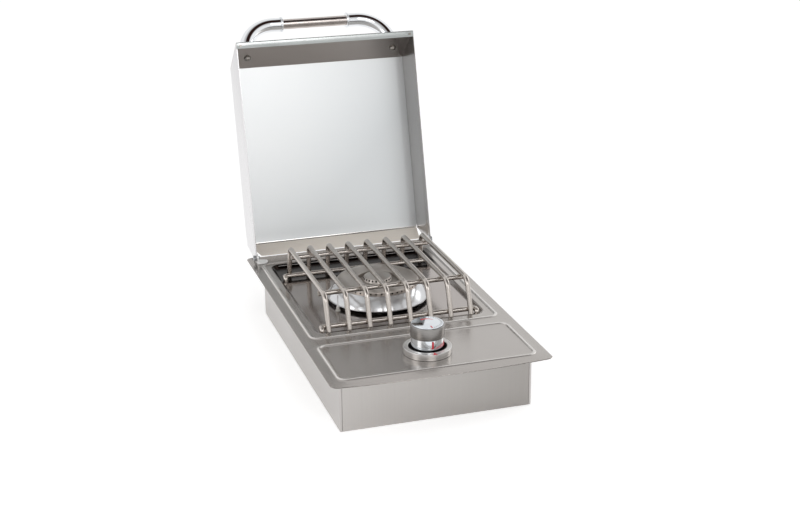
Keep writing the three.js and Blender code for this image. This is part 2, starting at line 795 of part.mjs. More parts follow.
function addBurnerBody() {
  const shoulderTop = dishSeat - gap;
  const outer = turned([
    [0, neckUnder], [neckRadius, neckUnder], [neckRadius, cupFoot - coneDepth],
    [cupRadius, cupFoot], [cupRadius + cupShoulder, shoulderTop - cupShoulder],
    [cupRadius + cupShoulder, shoulderTop], [cupRadius, shoulderTop], [cupRadius, cupTop],
    [cupRadius - cupWall, cupTop], [cupRadius - cupWall, cupFoot + cupWall],
    [ringHole - gap, cupFoot + cupWall], [ringHole - gap, hubTop - cupWall],
    [centreSeat + cupWall, hubTop], [0, hubTop],
  ], largeRound, 0, burnerY);
  const tube = joined([
    rod('y', tubeRadius, mediumRound, [gasHeight, 0], tubeY, burnerY),
    prism('y', circle(tubeBell, mediumRound, gasHeight, 0), tubeY, tubeY + tubeBellLength),
  ]);
  const throat = rod('z', throatRadius, mediumRound, [0, burnerY], neckUnder + cupWall, hubTop + overrun);
  const bore = rod('y', tubeBore, mediumRound, [gasHeight, 0], tubeY - overrun, burnerY);
  const mouth = rod('y', tubeBell - cupWall, mediumRound, [gasHeight, 0], tubeY - overrun,
    tubeY + tubeBellLength - cupWall);
  addPart('burner_body', without(joined([outer, tube]), [throat, bore, mouth]), 'cast');
}

function addBurnerStand() {
  const foot = sheet + gap;
  const top = neckUnder - gap;
  const half = standWidth / 2;
  const line = [
    [-half - standFoot, foot], [-half, foot], [-half, top - sheet], [half, top - sheet],
    [half, foot], [half + standFoot, foot],
  ];
  const outline = sheetOutline(line, sheet).map(([x, z]) => [z, x]);
  addPart('burner_stand', prism('y', outline, burnerY - standDepth / 2, burnerY + standDepth / 2), 'zinc');
}

function addDish() {
  const inner = cupRadius + gap;
  const edge = ringRadius - ringWall / 2;
  const rim = plateTop - dishRim;
  const outline = [
    [inner, dishSeat], [edge, dishSeat], [dishRadius - dishLip, rim], [dishRadius, rim],
    [dishRadius, rim + dishThickness], [dishRadius - dishLip + dishThickness / 2, rim + dishThickness],
    [edge + dishThickness / 2, dishSeat + dishThickness], [inner, dishSeat + dishThickness],
  ];
  addPart('burner_dish', turned(outline, largeRound, 0, burnerY), 'chrome');
}

function portRow(count, from, to, height) {
  return Array.from({ length: count }, (_, port) => {
    const drill = new THREE.CylinderGeometry(portRadius, portRadius, to - from, portSides);
    drill.rotateZ(Math.PI / 2).translate((from + to) / 2, 0, height);
    return toSolid(drill.rotateZ(((port + portPhaseShare) / count) * Math.PI * 2).translate(0, burnerY, 0));
  });
}

function addCaps() {
  const top = plateTop + ringTop;
  const ring = turned([
    [ringHole, ringUnder], [ringHole + ringWall, ringUnder], [ringHole + ringWall, top - ringCrown],
    [ringRadius - ringWall, top - ringCrown], [ringRadius - ringWall, ringUnder],
    [ringRadius - ringChamfer / 2, ringUnder], [ringRadius, top - ringChamfer],
    [ringRadius - ringChamfer, top], [ringHole, top],
  ], largeRound, 0, burnerY);
  const ringHeights = ringUnder + (ringHeight - ringCrown) / 2;
  const ringDrills = portRow(ringPorts, ringRadius - ringWall - overrun, ringRadius + overrun, ringHeights);
  addPart('burner_ring_cap', without(ring, ringDrills), 'satin');
  const foot = plateTop + centreTop - centreHeight;
  const crown = plateTop + centreTop;
  const shoulder = centreRadius - centreTaper;
  const centre = turned([
    [centreSeat, foot], [centreRadius, foot], [shoulder, crown - centreDome],
    [shoulder - centreDome, crown - centreDome / 2], [0, crown], [0, crown - centreCrown],
    [centreSeat - centreTaper, crown - centreCrown],
  ], mediumRound, 0, burnerY);
  const height = crown - centreCrown - portRadius;
  const drills = portRow(centrePorts, centreSeat - centreTaper - overrun, centreRadius + overrun, height);
  addPart('burner_centre_cap', without(centre, drills), 'satin');
}

// Igniter: an insulator in the pan floor in front of the dish, its pin bent towards the ring's ports.
const igniterReach = dishRadius + igniterClear;
const igniterPlace = [Math.cos(igniterAngle) * igniterReach, burnerY + Math.sin(igniterAngle) * igniterReach];

function addIgniter() {
  const top = plateTop + igniterTop;
  const insulator = without(joined([
    rod('z', igniterRadius, smallRound, igniterPlace, panFloor - igniterDrop, top),
    rod('z', igniterCollar, smallRound, igniterPlace, panFloor + gap, panFloor + gap + igniterCollarHeight),
  ]), [rod('z', pinRadius + gap, smallRound, igniterPlace, panFloor - igniterDrop - overrun, top + overrun)]);
  addPart('igniter_insulator', insulator, 'ceramic');
  const [x, y] = igniterPlace;
  const tip = igniterReach - pinReach;
  const pin = wire([
    [x, y, panFloor - igniterDrop], [x, y, plateTop + pinTop],
    [Math.cos(igniterAngle) * tip, burnerY + Math.sin(igniterAngle) * tip, plateTop + pinTop],
  ], [pinBend], pinRadius);
  addPart('igniter_pin', pin, 'zinc');
}

// Grate: bent rods that stand on the pan floor, two bars under their tops and two between their feet.
const rodTop = plateTop + rodHeight;
const rodFoot = panFloor + gap;
const rearFootY = panEdge.rear - rearFootInset;
const rearBendY = rearFootY - rearLean;
const lowBarZ = plateTop + lowBarHeight;
const beside = rodRadius * 2 + gap;
const legTurn = (lean) => Math.hypot(lean, rodTop - rodFoot) / (rodTop - rodFoot);
const frontFootY = panEdge.front + panSlope + frontFootClear + rodRadius * legTurn(frontLean);
const frontBendY = frontFootY + frontLean;
const legAt = (footY, lean) => footY + (lean * (lowBarZ - rodFoot)) / (rodTop - rodFoot);
const frontBarY = legAt(frontFootY, frontLean) + beside * legTurn(frontLean);
const rearBarY = legAt(rearFootY, -rearLean) - beside * legTurn(rearLean);
const outerRodX = panEdge.half - rodSideInset;
const rodPitch = (2 * outerRodX) / (rodCount - 1);
const hookX = outerRodX + hookReach;

function addGrate() {
  const below = rodFoot - overrun;
  const under = (footY, lean) => footY - (lean * overrun) / (rodTop - rodFoot);
  for (let number = 0; number < rodCount; number += 1) {
    const x = number * rodPitch - outerRodX;
    const bent = wire([
      [x, under(frontFootY, frontLean), below], [x, frontBendY, rodTop],
      [x, rearBendY, rodTop], [x, under(rearFootY, -rearLean), below],
    ], [frontBend, rearBend], rodRadius);
    const trim = block(
      [x - rodRadius - overrun, x + rodRadius + overrun],
      [frontFootY - frontBend, rearFootY + frontBend], [below - overrun - rodRadius, rodFoot]);
    addPart(`grate_rod_${number + 1}`, without(bent, [trim]), 'wire');
  }
  const upperZ = rodTop - beside;
  for (const [name, y] of [['front', frontBendY + frontBarPlace], ['rear', rearBendY - rearBarPlace]]) {
    const end = outerRodX + barEnd;
    addPart(`grate_upper_bar_${name}`, rod('x', rodRadius, wireSides, [y, upperZ], -end, end), 'wire');
  }
  for (const [name, y, reach] of [['front', frontBarY, hookFront], ['rear', rearBarY, hookRear]]) {
    const bar = wire([
      [-hookX, y - reach, panFloor - hookDepth], [-hookX, y - reach, lowBarZ], [-hookX, y, lowBarZ],
      [hookX, y, lowBarZ], [hookX, y - reach, lowBarZ], [hookX, y - reach, panFloor - hookDepth],
    ], [hookBend, hookBend, hookBend, hookBend], rodRadius);
    addPart(`grate_lower_bar_${name}`, bar, 'wire');
  }
}

// Hinges: a bracket at each side with a foot on the plate and an ear inside the lid's side, and its pin.
const lidWallInner = lidHalf - sheet;
const earOuter = lidWallInner - gap;
const footY = hingeY + footBehind;

function addHinges() {
  for (const [name, side] of sides) {
    const across = (from, to) => (side > 0 ? [from, to] : [-to, -from]);
    const footZ = [plateTop + gap, plateTop + gap + footThickness];
    const round = footWidth / 2;
    const foot = joined([
      block(across(earOuter - footLength + round, earOuter), [footY - round, footY + round], footZ),
      rod('z', round, mediumRound, [side * (earOuter - footLength + round), footY], ...footZ),
    ]);
    const ear = joined([
      rod('x', earRadius, mediumRound, [hingeY, hingeZ], ...across(earOuter - earThickness, earOuter)),
      block(across(earOuter - earThickness, earOuter), [hingeY - earRadius, hingeY + earRadius],
        [footZ[0], hingeZ]),
    ]);
    const hole = rod('x', pinShaft + gap, smallRound, [hingeY, hingeZ],
      ...across(earOuter - earThickness - overrun, earOuter + overrun));
    addPart(`hinge_bracket_${name}`, without(joined([foot, ear]), [hole]), 'chrome');
    const shaft = rod('x', pinShaft, smallRound, [hingeY, hingeZ],
      ...across(earOuter - earThickness - pinTail, lidHalf + gap + pinHeadLength / 2));
    const head = rod('x', pinHead, smallRound, [hingeY, hingeZ],
      ...across(lidHalf + gap, lidHalf + gap + pinHeadLength));
    addPart(`hinge_pin_${name}`, joined([shaft, head]), 'zinc');
  }
}

// Lid: its rear edge, rim height and hinge place are carried into the lid's own frame.
const rimDrop = hingeHeight - rimGap;
const lidPoint = ([along, up]) => [hingeInset - along, up - rimDrop];
const frontWallAt = (up, inward) => (
  lidLength - (up * lidFrontSlope) / lidHeight - inward / Math.sin(frontTilt));

function addLidPanel() {
  const line = [
    [lidLength - lidReturn, 0], [lidLength, 0], [lidLength - lidFrontSlope, lidHeight],
    [lidRearSlope, lidHeight],
  ];
  const rearLine = [
    [lidRearSlope + lidReturn, lidHeight], [lidRearSlope, lidHeight], [lidRearFoot, lidHeight - lidRearDrop],
  ];
  const panel = prism('x', sheetOutline(line, sheet).map(lidPoint), -lidHalf, lidHalf);
  const rearHalf = lidHalf - lidRearInset;
  const rear = prism('x', sheetOutline(rearLine, sheet).map(lidPoint), -rearHalf, rearHalf);
  const holes = [];
  for (const [, side] of sides) {
    const rivet = lidPoint([lidLength - rivetRim, 0]);
    holes.push(rod('z', rivetRadius + gap, smallRound, [side * (lidHalf - rivetInset), rivet[0]],
      -rimDrop - overrun, -rimDrop + sheet + overrun));
    const drill = rod('z', boltRadius + gap, smallRound, [side * handleFoot, 0],
      -sheet - overrun, overrun);
    holes.push(drill.transform(handle.matrix.elements));
  }
  addPart('lid_panel', without(joined([panel, rear]), holes), 'lidSteel', lid);
}

function addLidSides() {
  const clear = sheet + gap;
  const top = lidHeight - clear;
  const outline = [
    [lidHeelCut, 0], [lidLength - lidReturn - gap, 0], [lidLength - lidReturn - gap, clear],
    [frontWallAt(clear, clear), clear], [frontWallAt(top, clear), top], [lidRearSlope, top],
    [lidKneeInset, lidKneeHeight], [0, lidHeel], [0, lidHeelCut],
  ].map(lidPoint);
  for (const [name, side] of sides) {
    const across = (from, to) => (side > 0 ? [from, to] : [-to, -from]);
    const wall = prism('x', outline, ...across(lidWallInner, lidHalf));
    const front = hingeInset - (lidLength - clear / Math.sin(frontTilt) - clear);
    const tab = block(
      across(lidHalf - rivetInset - rivetHead - sheet, lidHalf), [front, front + tabLength],
      [clear - rimDrop, clear + sheet - rimDrop]);
    const holes = [
      rod('x', pinShaft + gap, smallRound, [0, 0], ...across(lidWallInner - overrun, lidHalf + overrun)),
      rod('z', rivetRadius + gap, smallRound,
        [side * (lidHalf - rivetInset), lidPoint([lidLength - rivetRim, 0])[0]],
        -rimDrop, clear + sheet + overrun - rimDrop),
    ];
    addPart(`lid_side_${name}`, without(joined([wall, tab]), holes), 'lidSteel', lid);
  }
}

function addRivets() {
  const y = lidPoint([lidLength - rivetRim, 0])[0];
  const outside = -rimDrop - gap;
  const inside = sheet + gap + sheet + gap - rimDrop;
  for (const [name, side] of sides) {
    const place = [side * (lidHalf - rivetInset), y];
    const rivet = joined([
      rod('z', rivetHead, smallRound, place, outside - rivetHeadHeight, outside),
      rod('z', rivetRadius, smallRound, place, outside - rivetHeadHeight / 2, inside + rivetHeadHeight / 2),
      rod('z', rivetHead, smallRound, place, inside, inside + rivetHeadHeight),
    ]);
    addPart(`lid_rivet_${name}`, rivet, 'chrome', lid);
  }
}

// Handle, in a frame on the lid's front wall: +Z points out of the wall, +Y up along it.
const handleFoot = lidHalf - handleInset;

function placeHandle() {
  const along = [
    lidLength - handleFromRim * Math.cos(frontTilt), handleFromRim * Math.sin(frontTilt),
  ];
  const [y, z] = lidPoint(along);
  handle.position.set(0, y, z);
  handle.rotation.x = frontTilt;
  handle.updateMatrix();
}

function addHandle() {
  const end = collarPlace + collarWidth + gap;
  for (const [name, side] of sides) {
    const across = (from, to) => (side > 0 ? [from, to] : [-to, -from]);
    const bend = wire(
      [[side * handleFoot, 0, gap], [side * handleFoot, 0, handleStand], [side * end, 0, handleStand]],
      [elbowBend], elbowRadius, elbowSides, elbowSteps);
    const flare = turned([
      [0, gap], [elbowFootRadius, gap], [elbowFootRadius, gap + elbowFootHeight / 2],
      [elbowRadius, gap + elbowFootHeight], [0, gap + elbowFootHeight],
    ], elbowSides, side * handleFoot);
    const bore = rod('z', boltRadius + gap, smallRound, [side * handleFoot, 0], -overrun, boltReach + gap);
    addPart(`handle_elbow_${name}`, without(joined([bend, flare]), [bore]), 'chrome', handle);
    const collar = without(
      rod('x', collarRadius, elbowSides, [0, handleStand], ...across(collarPlace, collarPlace + collarWidth)),
      [rod('x', barRadius + gap, elbowSides, [0, handleStand],
        ...across(collarPlace - overrun, collarPlace + collarWidth + overrun))]);
    addPart(`handle_collar_${name}`, collar, 'chrome', handle);
    const inside = -sheet - gap;
    const bolt = joined([
      turned([
        [0, inside], [boltHead, inside], [boltHead, inside - boltDome * boltRimShare],
        [boltHead * boltDomeShare, inside - boltDome * boltDomeShare], [0, inside - boltDome],
      ], smallRound, side * handleFoot),
      rod('z', boltRadius, smallRound, [side * handleFoot, 0], inside - boltDome / 2, boltReach),
    ]);
    addPart(`handle_bolt_${name}`, bolt, 'chrome', handle);
  }
  const bar = rod('x', barRadius, elbowSides, [0, handleStand], gap - end, end - gap);
  addPart('handle_bar', bar, 'satin', handle);
}

placeHandle();
lid.position.set(0, hingeY, hingeZ);
lid.rotation.x = -openAngle;
lid.add(handle);
model.add(lid);

addCounterPlate();
addBoxSides();
addBoxPanels();
addBoxBottom();
addBezel();
addKnob();
addValve();
addSpring();
addGasWay();
addBurnerBody();
addBurnerStand();
addDish();
addCaps();
addIgniter();
addGrate();
addHinges();
addLidPanel();
addLidSides();
addRivets();
addHandle();

export default model;
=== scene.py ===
import json
import math

import bpy
import bmesh
from mathutils import Matrix, Vector, geometry


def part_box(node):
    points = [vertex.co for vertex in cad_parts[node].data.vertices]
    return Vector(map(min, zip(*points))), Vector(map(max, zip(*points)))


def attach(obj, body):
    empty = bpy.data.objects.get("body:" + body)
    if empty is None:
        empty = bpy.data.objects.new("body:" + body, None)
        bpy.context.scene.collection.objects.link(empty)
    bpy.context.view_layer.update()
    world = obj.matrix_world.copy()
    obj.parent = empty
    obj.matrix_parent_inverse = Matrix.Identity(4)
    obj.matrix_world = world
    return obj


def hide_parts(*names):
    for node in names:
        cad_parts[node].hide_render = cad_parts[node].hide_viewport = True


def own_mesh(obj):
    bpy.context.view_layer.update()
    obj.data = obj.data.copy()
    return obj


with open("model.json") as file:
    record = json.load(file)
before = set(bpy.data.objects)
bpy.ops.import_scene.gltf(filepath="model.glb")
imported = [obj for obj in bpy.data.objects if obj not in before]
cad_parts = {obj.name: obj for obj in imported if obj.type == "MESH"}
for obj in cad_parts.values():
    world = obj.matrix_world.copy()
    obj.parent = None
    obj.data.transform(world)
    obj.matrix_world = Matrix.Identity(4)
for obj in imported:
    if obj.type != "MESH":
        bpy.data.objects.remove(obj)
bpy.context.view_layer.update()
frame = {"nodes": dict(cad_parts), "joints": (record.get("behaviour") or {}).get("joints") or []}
mm = 0.001
white = (1, 1, 1, 1)


def metres(settings):  # decimals are millimetres, but shares, counts and groups stay as they are
    shares = settings.get("shares", ())
    return {name: value * mm if isinstance(value, float) and name not in shares else value
            for name, value in settings.items()}


def tone(red, green, blue):  # a colour as seen on a screen, 0 to 255, made linear
    def linear(level):
        level = level / 255
        return level / 12.92 if level <= 0.04045 else ((level + 0.055) / 1.055) ** 2.4
    return (linear(red), linear(green), linear(blue), 1)


# Node helpers, for shaders and geometry alike
def feed(tree, node, links):  # each socket takes a node's first output, an output or a plain value
    for socket, source in links:
        source = source.outputs[0] if hasattr(source, "outputs") else source
        if hasattr(source, "is_output"):
            tree.links.new(source, node.inputs[socket])
        else:
            node.inputs[socket].default_value = source
    return node


def step(tree, kind, links=(), **settings):  # one node, its settings and what feeds it
    node = tree.nodes.new(kind)
    for name, value in settings.items():
        setattr(node, name, value)
    return feed(tree, node, links)


def maths(tree, operation, *values):
    return step(tree, "ShaderNodeMath", enumerate(values), operation=operation).outputs[0]


def vectorMaths(tree, operation, *values):
    node = step(tree, "ShaderNodeVectorMath", enumerate(values), operation=operation)
    return node.outputs["Value" if operation in ("DOT_PRODUCT", "LENGTH") else "Vector"]


def spreadValue(tree, value, low, high, fromLow=0.3, fromHigh=0.7):
    return step(tree, "ShaderNodeMapRange", [
        ("Value", value), ("From Min", fromLow), ("From Max", fromHigh), ("To Min", low), ("To Max", high),
    ]).outputs["Result"]


def mixColours(tree, share, low, high, blend="MIX"):
    return step(tree, "ShaderNodeMix", [("Factor", share), ("A", low), ("B", high)],
                data_type="RGBA", blend_type=blend).outputs["Result"]


# Camera and stage
photoView = {
    "azimuth": -17.252, "elevation": 19.449, "roll": -0.515, "lens": 66.38, "sensor": 36,
    "place": (-0.58136, -1.89108, 0.86572), "shift": (0.0110, -0.0114),
}


def addCamera():
    lens = bpy.data.cameras.new("camera")
    lens.lens = photoView["lens"]
    lens.sensor_width = photoView["sensor"]
    lens.shift_x, lens.shift_y = photoView["shift"]
    camera = bpy.data.objects.new("camera", lens)
    bpy.context.scene.collection.objects.link(camera)
    azimuth, elevation, roll = (math.radians(photoView[name]) for name in ("azimuth", "elevation", "roll"))
    back = Vector((math.sin(azimuth) * math.cos(elevation), -math.cos(azimuth) * math.cos(elevation),
                   math.sin(elevation)))
    level = (-back).cross(Vector((0, 0, 1))).normalized()
    upward = level.cross(-back)
    across = level * math.cos(roll) + upward * math.sin(roll)
    turn = Matrix((across, back.cross(across), back)).transposed()
    camera.matrix_world = Matrix.Translation(photoView["place"]) @ turn.to_4x4()
    bpy.context.scene.camera = camera


studio = {
    "floorHalf": 14.0, "floorLevel": -0.0004, "floorColour": (0.90, 0.90, 0.90, 1), "floorLift": 0.46,
    "worldLevel": 0.60,
    # what mirrors see: a white wall that fades into a grey ceiling, lower in front than behind
    "wallTop": 0.70, "ceilingStart": 1.10, "ceilingLevel": 0.30, "ceilingLean": (0, -0.35, 1),
    # an unlit opening in the ceiling: direction, level, soft edge and how high over the wall it starts
    "opening": (0.28, -0.24, 0.93), "openingLevel": 0.06, "openingEdge": (0.90, 0.95),
    "openingFoot": (0.26, 0.36), "shadeTint": (0.95, 0.42, 0.34, 1),
    "lamps": [
        # name, place, aim, width, height, watts
        ("keyLamp", (0.10, -2.35, 1.80), (0, 0.2, 0.25), 1.5, 1.0, 13),
        ("leftLamp", (-2.3, -0.7, 1.4), (0, 0, 0.2), 1.2, 1.0, 9),
        ("rightLamp", (2.2, 0.6, 1.2), (0, 0.1, 0.2), 0.9, 0.9, 5),
    ],
}


def cameraSight(tree):  # 1 where the camera, a mirror or glass looks, else 0
    path = step(tree, "ShaderNodeLightPath").outputs
    seen = maths(tree, "MAXIMUM", path["Is Camera Ray"], path["Is Glossy Ray"])
    return maths(tree, "MAXIMUM", seen, path["Is Transmission Ray"])


def addWorld():
    world = bpy.data.worlds.new("studio")
    bpy.context.scene.world = world
    world.use_nodes = True
    tree = world.node_tree
    plain = feed(tree, tree.nodes["Background"], [("Color", white), ("Strength", studio["worldLevel"])])
    direction = step(tree, "ShaderNodeTexCoord").outputs["Generated"]
    height = step(tree, "ShaderNodeSeparateXYZ", [(0, direction)]).outputs["Z"]
    lean = vectorMaths(tree, "DOT_PRODUCT", direction, studio["ceilingLean"])
    ceiling = spreadValue(tree, lean, 1, studio["ceilingLevel"], studio["wallTop"], studio["ceilingStart"])
    facing = vectorMaths(tree, "DOT_PRODUCT", direction, Vector(studio["opening"]).normalized())
    opening = spreadValue(tree, facing, 1, studio["openingLevel"], *studio["openingEdge"])
    overWall = spreadValue(tree, height, 0, 1, *studio["openingFoot"])
    openAbove = step(tree, "ShaderNodeMix", [("Factor", overWall), ("A", 1), ("B", opening)])
    strength = maths(tree, "MULTIPLY", ceiling, openAbove.outputs["Result"])
    shade = spreadValue(tree, strength, 0, 1, 0, studio["ceilingLevel"])
    tint = mixColours(tree, shade, studio["shadeTint"], white)
    seen = step(tree, "ShaderNodeBackground", [("Color", tint), ("Strength", strength)])
    mix = step(tree, "ShaderNodeMixShader", [("Fac", cameraSight(tree)), (1, plain), (2, seen)])
    feed(tree, tree.nodes["World Output"], [("Surface", mix)])


def addFloor():
    half = studio["floorHalf"]
    mesh = bpy.data.meshes.new("floor")
    corners = [(x, y, 0) for x, y in ((-half, -half), (half, -half), (half, half), (-half, half))]
    mesh.from_pydata(corners, [], [(0, 1, 2, 3)])
    floor = bpy.data.objects.new("floor", mesh)
    floor.location.z = studio["floorLevel"]
    bpy.context.scene.collection.objects.link(floor)
    paper = bpy.data.materials.new("floorPaper")
    paper.use_nodes = True
    tree = paper.node_tree
    tree.nodes.remove(tree.nodes["Principled BSDF"])
    matt = step(tree, "ShaderNodeBsdfDiffuse", [("Color", studio["floorColour"])])
    lift = maths(tree, "MULTIPLY", cameraSight(tree), studio["floorLift"])
    glow = step(tree, "ShaderNodeEmission", [("Color", white), ("Strength", lift)])
    both = step(tree, "ShaderNodeAddShader", [(0, matt), (1, glow)])
    feed(tree, tree.nodes["Material Output"], [("Surface", both)])
    mesh.materials.append(paper)


def addLamps():
    for name, place, aim, width, height, watts in studio["lamps"]:
        lamp = bpy.data.lights.new(name, "AREA")
        lamp.shape = "RECTANGLE"
        lamp.size, lamp.size_y, lamp.energy = width, height, watts
        light = bpy.data.objects.new(name, lamp)
        light.location = place
        light.rotation_mode = "QUATERNION"
        light.rotation_quaternion = (Vector(aim) - Vector(place)).to_track_quat("-Z", "Y")
        bpy.context.scene.collection.objects.link(light)


print("camera and stage")
addCamera()
addWorld()
addFloor()
addLamps()
bpy.context.scene.view_settings.view_transform = "Standard"

# Finishes
streakShare = 0.5  # of the streaks in the tone, the rest is the cloud's
blendReach = (0.35, 0.65)  # from the darkest to the lightest tone
streakNoise = {"detail": 4, "rough": 0.65}
ringNoise = {"detail": 3, "rough": 0.6}
ringCloud = 30
enamelMottle = {"scale": 400, "dark": 0.86, "rough": 0.15}


def noiseOn(tree, vector, scale, detail=2, rough=0.5):
    return step(tree, "ShaderNodeTexNoise", [
        ("Vector", vector), ("Scale", scale), ("Detail", detail), ("Roughness", rough)]).outputs["Fac"]


def spreadAcross(tree, shader, share, along):  # brushed metal throws light across its brushing
    normal = step(tree, "ShaderNodeNewGeometry").outputs["Normal"]
    across = vectorMaths(tree, "CROSS_PRODUCT", normal, along)
    tangent = vectorMaths(tree, "ADD", across, (0.004, 0.003, 0.002))  # so that it is never without length
    feed(tree, shader, [("Tangent", tangent), ("Anisotropic", share)])


def startMaterial(name, metallic=1.0):
    material = bpy.data.materials.new(name)
    material.use_nodes = True
    tree = material.node_tree
    shader = feed(tree, tree.nodes["Principled BSDF"], [("Metallic", metallic)])
    return material, tree, shader, step(tree, "ShaderNodeTexCoord").outputs["Object"]


def shadeOut(tree, shader, look, streak, cloud):  # tone, gloss and bump from the streaks and the cloud
    blend = maths(tree, "MULTIPLY_ADD", streak, streakShare, maths(tree, "MULTIPLY", cloud, 1 - streakShare))
    level = spreadValue(tree, blend, 0, 1, *blendReach)
    rough = spreadValue(tree, streak, look["smooth"], look["rough"])
    bump = step(tree, "ShaderNodeBump", [
        ("Strength", look["bump"]), ("Distance", look.get("bumpDepth", 0.0001)), ("Height", streak)])
    wave = step(tree, "ShaderNodeBump", [  # sheet metal is never quite flat
        ("Strength", look.get("wave", 0.0)), ("Distance", look.get("waveDepth", 0.002)), ("Height", cloud),
        ("Normal", bump)])
    feed(tree, shader, [("Roughness", rough), ("Normal", wave)])
    return mixColours(tree, level, tone(*look["dark"]), tone(*look["light"]))


def brushedSteel(name, look):  # fine parallel streaks along one direction
    material, tree, shader, place = startMaterial(name, look.get("metallic", 1.0))
    stretch = step(tree, "ShaderNodeMapping", [("Vector", place), ("Scale", look["grain"])])
    streak = noiseOn(tree, stretch, 1, **streakNoise)
    colour = shadeOut(tree, shader, look, streak, noiseOn(tree, place, look["cloudScale"]))
    if "brushing" in look:
        spreadAcross(tree, shader, look["spread"], look["brushing"])
    if "heatTint" in look:  # straw and brown tints beside the welds
        heat = step(tree, "ShaderNodeAttribute", attribute_name="heat").outputs["Fac"]
        colour = mixColours(tree, heat, colour, tone(*look["heatTint"]), "MULTIPLY")
    if "paintedShade" in look:  # painted shade: the tone darkens softly along a direction
        toward, start, end, shade = look["paintedShade"]
        along = spreadValue(tree, vectorMaths(tree, "DOT_PRODUCT", place, toward), 0, 1, start, end)
        colour = mixColours(tree, along, colour, tone(*shade), "MULTIPLY")
    feed(tree, shader, [("Base Color", colour)])
    return material


def turnedSteel(name, look, centre):  # fine rings about an upright axis
    material, tree, shader, place = startMaterial(name, look.get("metallic", 1.0))
    centred = step(tree, "ShaderNodeMapping", [("Vector", place), ("Location", (-centre[0], -centre[1], 0))])
    parts = step(tree, "ShaderNodeSeparateXYZ", [(0, centred)]).outputs
    flat = step(tree, "ShaderNodeCombineXYZ", [("X", parts["X"]), ("Y", parts["Y"])])
    radius = vectorMaths(tree, "LENGTH", flat)
    ringed = step(tree, "ShaderNodeCombineXYZ", [("X", radius), ("Y", parts["Z"])])
    if "spread" in look:
        around = step(tree, "ShaderNodeVectorTransform", [
            (0, vectorMaths(tree, "CROSS_PRODUCT", (0, 0, 1), flat))],
            convert_from="OBJECT", convert_to="WORLD")
        spreadAcross(tree, shader, look["spread"], vectorMaths(tree, "NORMALIZE", around))
    streak = noiseOn(tree, ringed, look["ringScale"], **ringNoise)
    cloud = noiseOn(tree, place, ringCloud)
    feed(tree, shader, [("Base Color", shadeOut(tree, shader, look, streak, cloud))])
    return material


def enamel(name, colour, roughness):
    material, tree, shader, place = startMaterial(name, 0.0)
    mottle = noiseOn(tree, place, enamelMottle["scale"])
    full = tone(*colour)
    darker = tuple(enamelMottle["dark"] * level for level in full[:3]) + (1,)
    mottled = mixColours(tree, spreadValue(tree, mottle, 0, 1), darker, full)
    rough = spreadValue(tree, mottle, *(roughness * (1 + part * enamelMottle["rough"]) for part in (-1, 1)))
    feed(tree, shader, [("Base Color", mottled), ("Roughness", rough)])
    return material


def axisOf(name):  # where a round CAD piece's upright axis stands
    low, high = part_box(name)
    return ((low.x + high.x) / 2, (low.y + high.y) / 2)


burnerAxis = axisOf("burner_ring_cap")
knobAxis = axisOf("knob_bezel")

print("finishes")
plateSteel = brushedSteel("plateSteel", {
    "grain": (12, 1600, 1600), "dark": (171, 166, 162), "light": (179, 175, 171), "smooth": 0.22,
    "rough": 0.26, "bump": 0.010, "wave": 0.10, "waveDepth": 0.0012, "cloudScale": 7, "brushing": (1, 0, 0),
    "spread": 0.55})
# the pan's rear is darkened by a painted shade that stands in for the dark reflection on its rear slope
panSteel = brushedSteel("panSteel", {
    "grain": (12, 1600, 1600), "dark": (164, 157, 153), "light": (172, 166, 162), "smooth": 0.15,
    "rough": 0.18, "bump": 0.008, "wave": 0.08, "waveDepth": 0.0012, "cloudScale": 7, "brushing": (1, 0, 0),
    "spread": 0.4, "paintedShade": ((0, 1, 0), 0.138, 0.162, (72, 62, 58))})
# a lighter finish for the upward bead crowns: a painted highlight along the beads
beadHighlightSteel = brushedSteel("beadHighlightSteel", {
    "grain": (200, 200, 200), "dark": (204, 200, 196), "light": (214, 211, 208), "smooth": 0.22,
    "rough": 0.26, "bump": 0.004, "cloudScale": 7})
boxSteel = brushedSteel("boxSteel", {
    "grain": (1600, 1600, 12), "dark": (184, 180, 177), "light": (191, 188, 186), "smooth": 0.30,
    "rough": 0.34, "bump": 0.012, "cloudScale": 6, "brushing": (0, 0, 1), "spread": 0.4})
# a darker copy of the box steel for the front, darkening further to the right: painted shade
boxFrontShadedSteel = brushedSteel("boxFrontShadedSteel", {
    "grain": (1600, 1600, 12), "dark": (182, 178, 175), "light": (188, 185, 182), "smooth": 0.30,
    "rough": 0.34, "bump": 0.010, "cloudScale": 6, "brushing": (0, 0, 1), "spread": 0.4,
    "paintedShade": ((1, 0, 0), -0.13, 0.12, (216, 215, 214))})
# the inside of the lid: a near-white, partly metallic copy of the lid steel that paints the light on it,
# with a painted shade toward the lower right
lidSteel = brushedSteel("lidSteel", {
    "grain": (12, 1600, 1600), "dark": (250, 252, 253), "light": (253, 254, 254), "smooth": 0.34,
    "rough": 0.38, "bump": 0.002, "wave": 0.04, "cloudScale": 5, "metallic": 0.55,
    "paintedShade": ((0.7, 0, -0.7), -0.33, -0.10, (219, 221, 222))})
lidOuterSteel = brushedSteel("lidOuterSteel", {
    "grain": (12, 1600, 1600), "dark": (188, 185, 182), "light": (196, 193, 190), "smooth": 0.26,
    "rough": 0.30, "bump": 0.008, "cloudScale": 6, "brushing": (1, 0, 0), "spread": 0.4})
